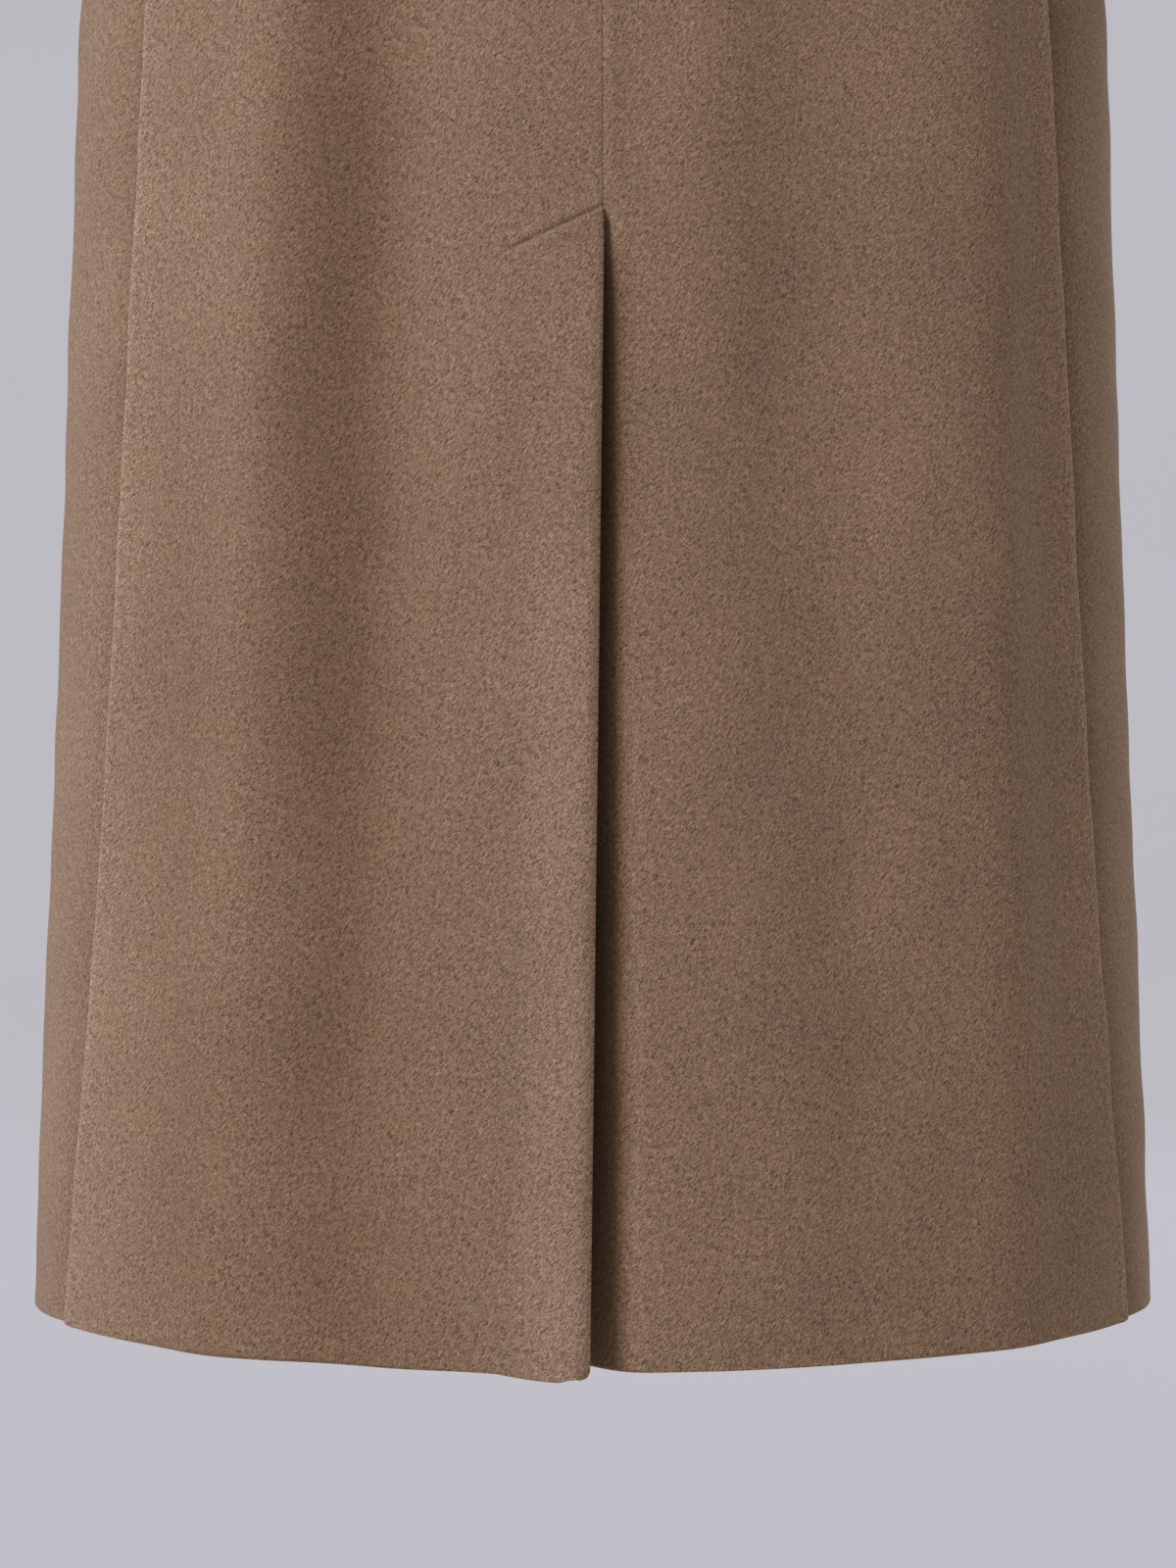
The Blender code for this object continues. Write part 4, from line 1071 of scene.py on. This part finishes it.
button = {
    "heights": (-0.425, -0.545, -0.665),
    "hole": 0.0012,
    "pitch": 0.0030,
    "around": 56,
    "thread": 0.00042,  # radius of the sewing thread
    "strandGap": 0.00045,
    "strandHigh": 0.0029,
    "holeLong": 0.029,  # worked buttonhole
    "holeWide": 0.0032,
    "holeCord": 0.0008,
    "proud": 0.0003,  # of button and buttonhole above the cloth
}
buttonProfile = (  # radius and height
    (0.0030, 0.0), (0.0060, 0.0), (0.0085, 0.0001), (0.0105, 0.0006), (0.0116, 0.0012), (0.0123, 0.0019),
    (0.0125, 0.0026), (0.0122, 0.0034), (0.0116, 0.0039), (0.0108, 0.0041), (0.0099, 0.0040), (0.0092, 0.0036),
    (0.0086, 0.0031), (0.0078, 0.0028), (0.0055, 0.0027), (0.0040, 0.0027),
)


horn = {
    "dark": "#2b1d15",
    "light": "#6e5037",
    "slant": 28.0,
    "streak": (0.012, 0.004, 0.0022),
    "colourRange": (0.42, 0.72),
    "roughRange": (0.3, 0.7, 0.28, 0.42),
}
sewing = {"dark": "#4a392d", "light": "#7d6452", "ply": 0.0016}


# polished horn: dark brown with slow paler streaks along it and a soft shine
def darkHorn():
    made, tree, shader = newMaterial("darkHorn")
    laid = laidAlong(tree, spotOn(tree), (0.0, math.radians(horn["slant"]), 0.0), horn["streak"])
    streak = noise(tree, laid, 1.0, 4.0, 0.6, 0.8, "3D")
    fill(tree, shader, {
        "Base Color": mixed(tree, ranged(tree, streak, *horn["colourRange"]), horn["dark"], horn["light"]),
        "Roughness": ranged(tree, streak, *horn["roughRange"]),
        "IOR": 1.54,
    })
    return made


# spun sewing thread, a shade darker than the cloth, its ply showing as fine slanting ridges
def sewingThread():
    made, tree, shader = newMaterial("sewingThread")
    ply = addNode(tree, "ShaderNodeTexWave", {"bands_direction": "DIAGONAL"}, {
        "Vector": spotOn(tree), "Scale": 1.0 / sewing["ply"], "Distortion": 1.5, "Detail": 2.0,
    }, "Fac")
    fill(tree, shader, {
        "Base Color": mixed(tree, ply, sewing["dark"], sewing["light"]),
        "Normal": bumped(tree, ply, 0.4, 0.0001),
        "Roughness": 0.8,
    })
    return made


hornLook = darkHorn()
threadLook = sewingThread()


# place of a button on the left front: its seat, and the directions right, up and out as columns
def buttonSeat(height):
    v = np.array(rowOf(height))
    u = front["lap"] / reachAt(1, v)
    face = panelNormal(frontPoint, 1, u, v)
    right = unit(np.cross(np.array((0.0, 0.0, 1.0)), face))
    seat = frontPoint(1, u, v)
    return seat + face * (button["proud"] + uneven(seat)), np.stack([right, np.cross(face, right), face], axis=1)


def tubeFaces(rows, columns, closed=False):
    index = np.arange(rows * columns).reshape(rows, columns)
    lower, upper = (index, np.roll(index, -1, axis=0)) if closed else (index[:-1], index[1:])
    return np.stack([lower, np.roll(lower, -1, axis=1), np.roll(upper, -1, axis=1), upper], axis=-1).reshape(-1, 4)


def endCaps(rows, around):
    ring = np.arange(around)[None]
    return [ring[:, ::-1], (rows - 1) * around + ring]


# a part's vertices turned and moved onto a seat
def seated(part, seat, turn):
    return part[0] @ turn.T + seat, part[1]


# round tube carried along a path, its rings square to the path, open ends sunk out of sight
def tubeAlong(path, radius, closed=False, around=8):
    ahead = unit(np.roll(path, -1, axis=0) - np.roll(path, 1, axis=0) if closed else np.gradient(path, axis=0))
    aside = unit(np.cross(ahead, np.array((0.31, 0.17, 0.93))))
    over = np.cross(ahead, aside)
    angle = np.linspace(0.0, 2 * math.pi, around, endpoint=False)[:, None]
    ring = aside[:, None] * np.cos(angle) + over[:, None] * np.sin(angle)
    wide = np.broadcast_to(np.asarray(radius, float), (len(path),))[:, None, None]
    faces = [tubeFaces(len(path), around, closed)]
    if not closed:
        faces += endCaps(len(path), around)
    return (path[:, None] + wide * ring).reshape(-1, 3), faces


# several parts as one piece: (vertices, list of face arrays) each
def joined(name, parts):
    faces, count = [], 0
    for vertices, faceArrays in parts:
        faces += [array + count for array in faceArrays]
        count += len(vertices)
    return meshPiece(name, np.concatenate([vertices for vertices, _ in parts]), faces)


# disc turned from the profile, radius times cosine and sine of the angle, less four drilled holes
def makeButton(number, height):
    seat, turn = buttonSeat(height)
    radius, rise = np.array(buttonProfile).T
    angle = np.linspace(0.0, 2 * math.pi, button["around"], endpoint=False)
    rings = stack(radius[:, None] * np.cos(angle), radius[:, None] * np.sin(angle), rise[:, None] + 0 * angle)
    size = rings.shape[:2]
    turned = (rings.reshape(-1, 3), [tubeFaces(*size)] + endCaps(*size))
    disc = joined(f"coat_button_{number}", [seated(turned, seat, turn)])
    pins = []
    for x in (-0.5, 0.5):
        for y in (-0.5, 0.5):
            line = np.array(((0, 0, -0.004), (0, 0, 0.0), (0, 0, 0.009))) + np.array((x, y, 0.0)) * button["pitch"]
            pins.append(seated(tubeAlong(line, button["hole"], around=24), seat, turn))
    pin = joined("pin", pins)
    cut = disc.modifiers.new("holes", "BOOLEAN")
    cut.operation, cut.solver, cut.object = "DIFFERENCE", "EXACT", pin
    drilled = bpy.data.meshes.new_from_object(disc.evaluated_get(bpy.context.evaluated_depsgraph_get()))
    disc.modifiers.clear()
    disc.data = drilled
    bpy.data.objects.remove(pin)
    drilled.shade_smooth()
    drilled.set_sharp_from_angle(angle=math.radians(48))
    drilled.materials.clear()
    drilled.materials.append(hornLook)
    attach(disc, "root")
    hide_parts(f"button_{number}")
    strands = []
    for x in (-0.5, 0.5):
        for shift in (-button["strandGap"], 0.0, button["strandGap"]):
            t = np.linspace(0.0, 1.0, 15)
            over = 0.0004 + (button["strandHigh"] - 0.6 * abs(shift)) * np.sin(math.pi * t) ** 0.45
            line = stack(x * button["pitch"] + shift, button["pitch"] * (t - 0.5) * 1.12, over)
            strands.append(seated(tubeAlong(line, button["thread"]), seat, turn))
    thread = joined(f"coat_button_thread_{number}", strands)
    thread.data.materials.append(threadLook)
    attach(thread, "root")


# worked buttonhole: a corded loop of stitches on the left front, from just past the button inwards
def makeHole(number, height):
    v0 = np.array(rowOf(height))
    reach = reachAt(1, v0)
    turn = np.linspace(0.0, 2 * math.pi, 160, endpoint=False)
    halfLong, halfWide = 0.5 * button["holeLong"], 0.5 * button["holeWide"] - 0.5 * button["holeCord"]
    along = np.sign(np.cos(turn)) * np.abs(np.cos(turn)) ** 0.35 * halfLong
    aside = np.sin(turn) * halfWide * (1 - 0.35 * (np.abs(along) / halfLong) ** 6)
    u = (front["lap"] + halfLong - 0.003 + along) / reach
    v = v0 + aside / (coat["scye"] - coat["hem"])
    spot = frontPoint(1, u, v)
    path = spot + panelNormal(frontPoint, 1, u, v) * (uneven(spot) + button["proud"])[..., None]
    cord = button["holeCord"] * (1 + 0.16 * np.sin(34 * turn))
    hole = joined(f"coat_buttonhole_{number}", [tubeAlong(path, cord, closed=True)])
    hole.data.materials.append(threadLook)
    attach(hole, "root")


for number, height in enumerate(button["heights"], 1):
    makeButton(number, height)
    makeHole(number, height)
print("buttons made")


# level camera behind the coat, a little to the wearer's left, at the photograph's framing
view = {"azimuth": 178.4, "distance": 1.75, "height": -0.891, "aside": 0.0028, "lens": 78.0}
cameraData = bpy.data.cameras.new("camera")
cameraData.lens = view["lens"]
cameraData.sensor_width = 36.0
camera = putIn("camera", cameraData)
turned = math.radians(view["azimuth"])
away = view["distance"]
camera.location = (away * math.sin(turned) + view["aside"], -away * math.cos(turned), view["height"])
camera.rotation_euler = (math.pi / 2, 0.0, turned)
scene.camera = camera

studio = {
    "floor": -1.50,
    "flatRadius": 6.0,
    "sweep": 6.0,
    "wall": 20.0,
    "around": 72,
    "paint": "#4c4b50",
    "glowColours": ("#c1c0c8", "#c5c4cc"),
    "glow": 0.87,
    "worldColour": "#f2e6da",
    "worldGlow": 0.51,
}


# floor and backdrop in one: a flat disc that sweeps up all round as a quarter circle, then a wall
def makeFloor():
    out, around = studio["flatRadius"], studio["around"]
    turn = np.linspace(0.0, math.pi / 2, 24)[1:]
    flat = np.linspace(0.0, out, 12)[1:]
    radius = np.concatenate([flat, out + studio["sweep"] * np.sin(turn), [out + studio["sweep"]]])
    height = np.concatenate([0 * flat, studio["sweep"] * (1 - np.cos(turn)), [studio["wall"]]])[:, None]
    angle = np.linspace(0.0, 2 * math.pi, around, endpoint=False)
    points = stack(radius[:, None] * np.cos(angle), radius[:, None] * np.sin(angle), studio["floor"] + height)
    faces = [tubeFaces(len(radius), around)[:, ::-1], np.arange(around)[None]]
    floor = meshPiece("floor", points.reshape(-1, 3), faces)
    made, tree, shader = newMaterial("paintedBackdrop")  # pale and even, with a slow faint cloud
    cloud = noise(tree, spotOn(tree), 0.6, 2.0, kind="3D")
    fill(tree, shader, {
        "Base Color": linear(studio["paint"]),
        "Emission Color": mixed(tree, cloud, *studio["glowColours"]),
        "Emission Strength": studio["glow"],
        "Roughness": 0.9,
        "Specular IOR Level": 0.0,
    })
    floor.data.materials.append(made)
    floor.visible_diffuse = floor.visible_shadow = False  # the pale sweep adds no tint to the cloth


makeFloor()


def areaLight(name, place, target, size, power, colour):
    data = bpy.data.lights.new(name, "AREA")
    data.shape = "DISK"
    data.size = size
    data.energy = power
    data.color = linear(colour)[:3]
    lamp = putIn(name, data)
    lamp.location = place
    away = np.array(place, float) - np.array(target, float)
    flat = math.hypot(away[0], away[1])
    lamp.rotation_euler = (math.atan2(flat, away[2]), 0.0, math.atan2(away[1], away[0]) + math.pi / 2)


lampNames = ("name", "place", "target", "size", "power", "colour")
lamps = (
    ("keyLight", (3.05, 1.95, 0.5), (0.0, 0.0, -0.8), 2.4, 93.0, "#fbfcff"),
    ("frontFill", (-1.4, -3.6, 0.9), (0.0, 0.0, -0.6), 2.6, 62.0, "#f6f7ff"),
)
for lamp in rowsOf(lampNames, lamps):
    areaLight(**lamp)
world = bpy.data.worlds.new("studioWorld")
world.use_nodes = True
fill(world.node_tree, world.node_tree.nodes["Background"], {
    "Color": linear(studio["worldColour"]), "Strength": studio["worldGlow"],
})
scene.world = world
scene.view_settings.view_transform = "Standard"
print("camera, floor and lights made")
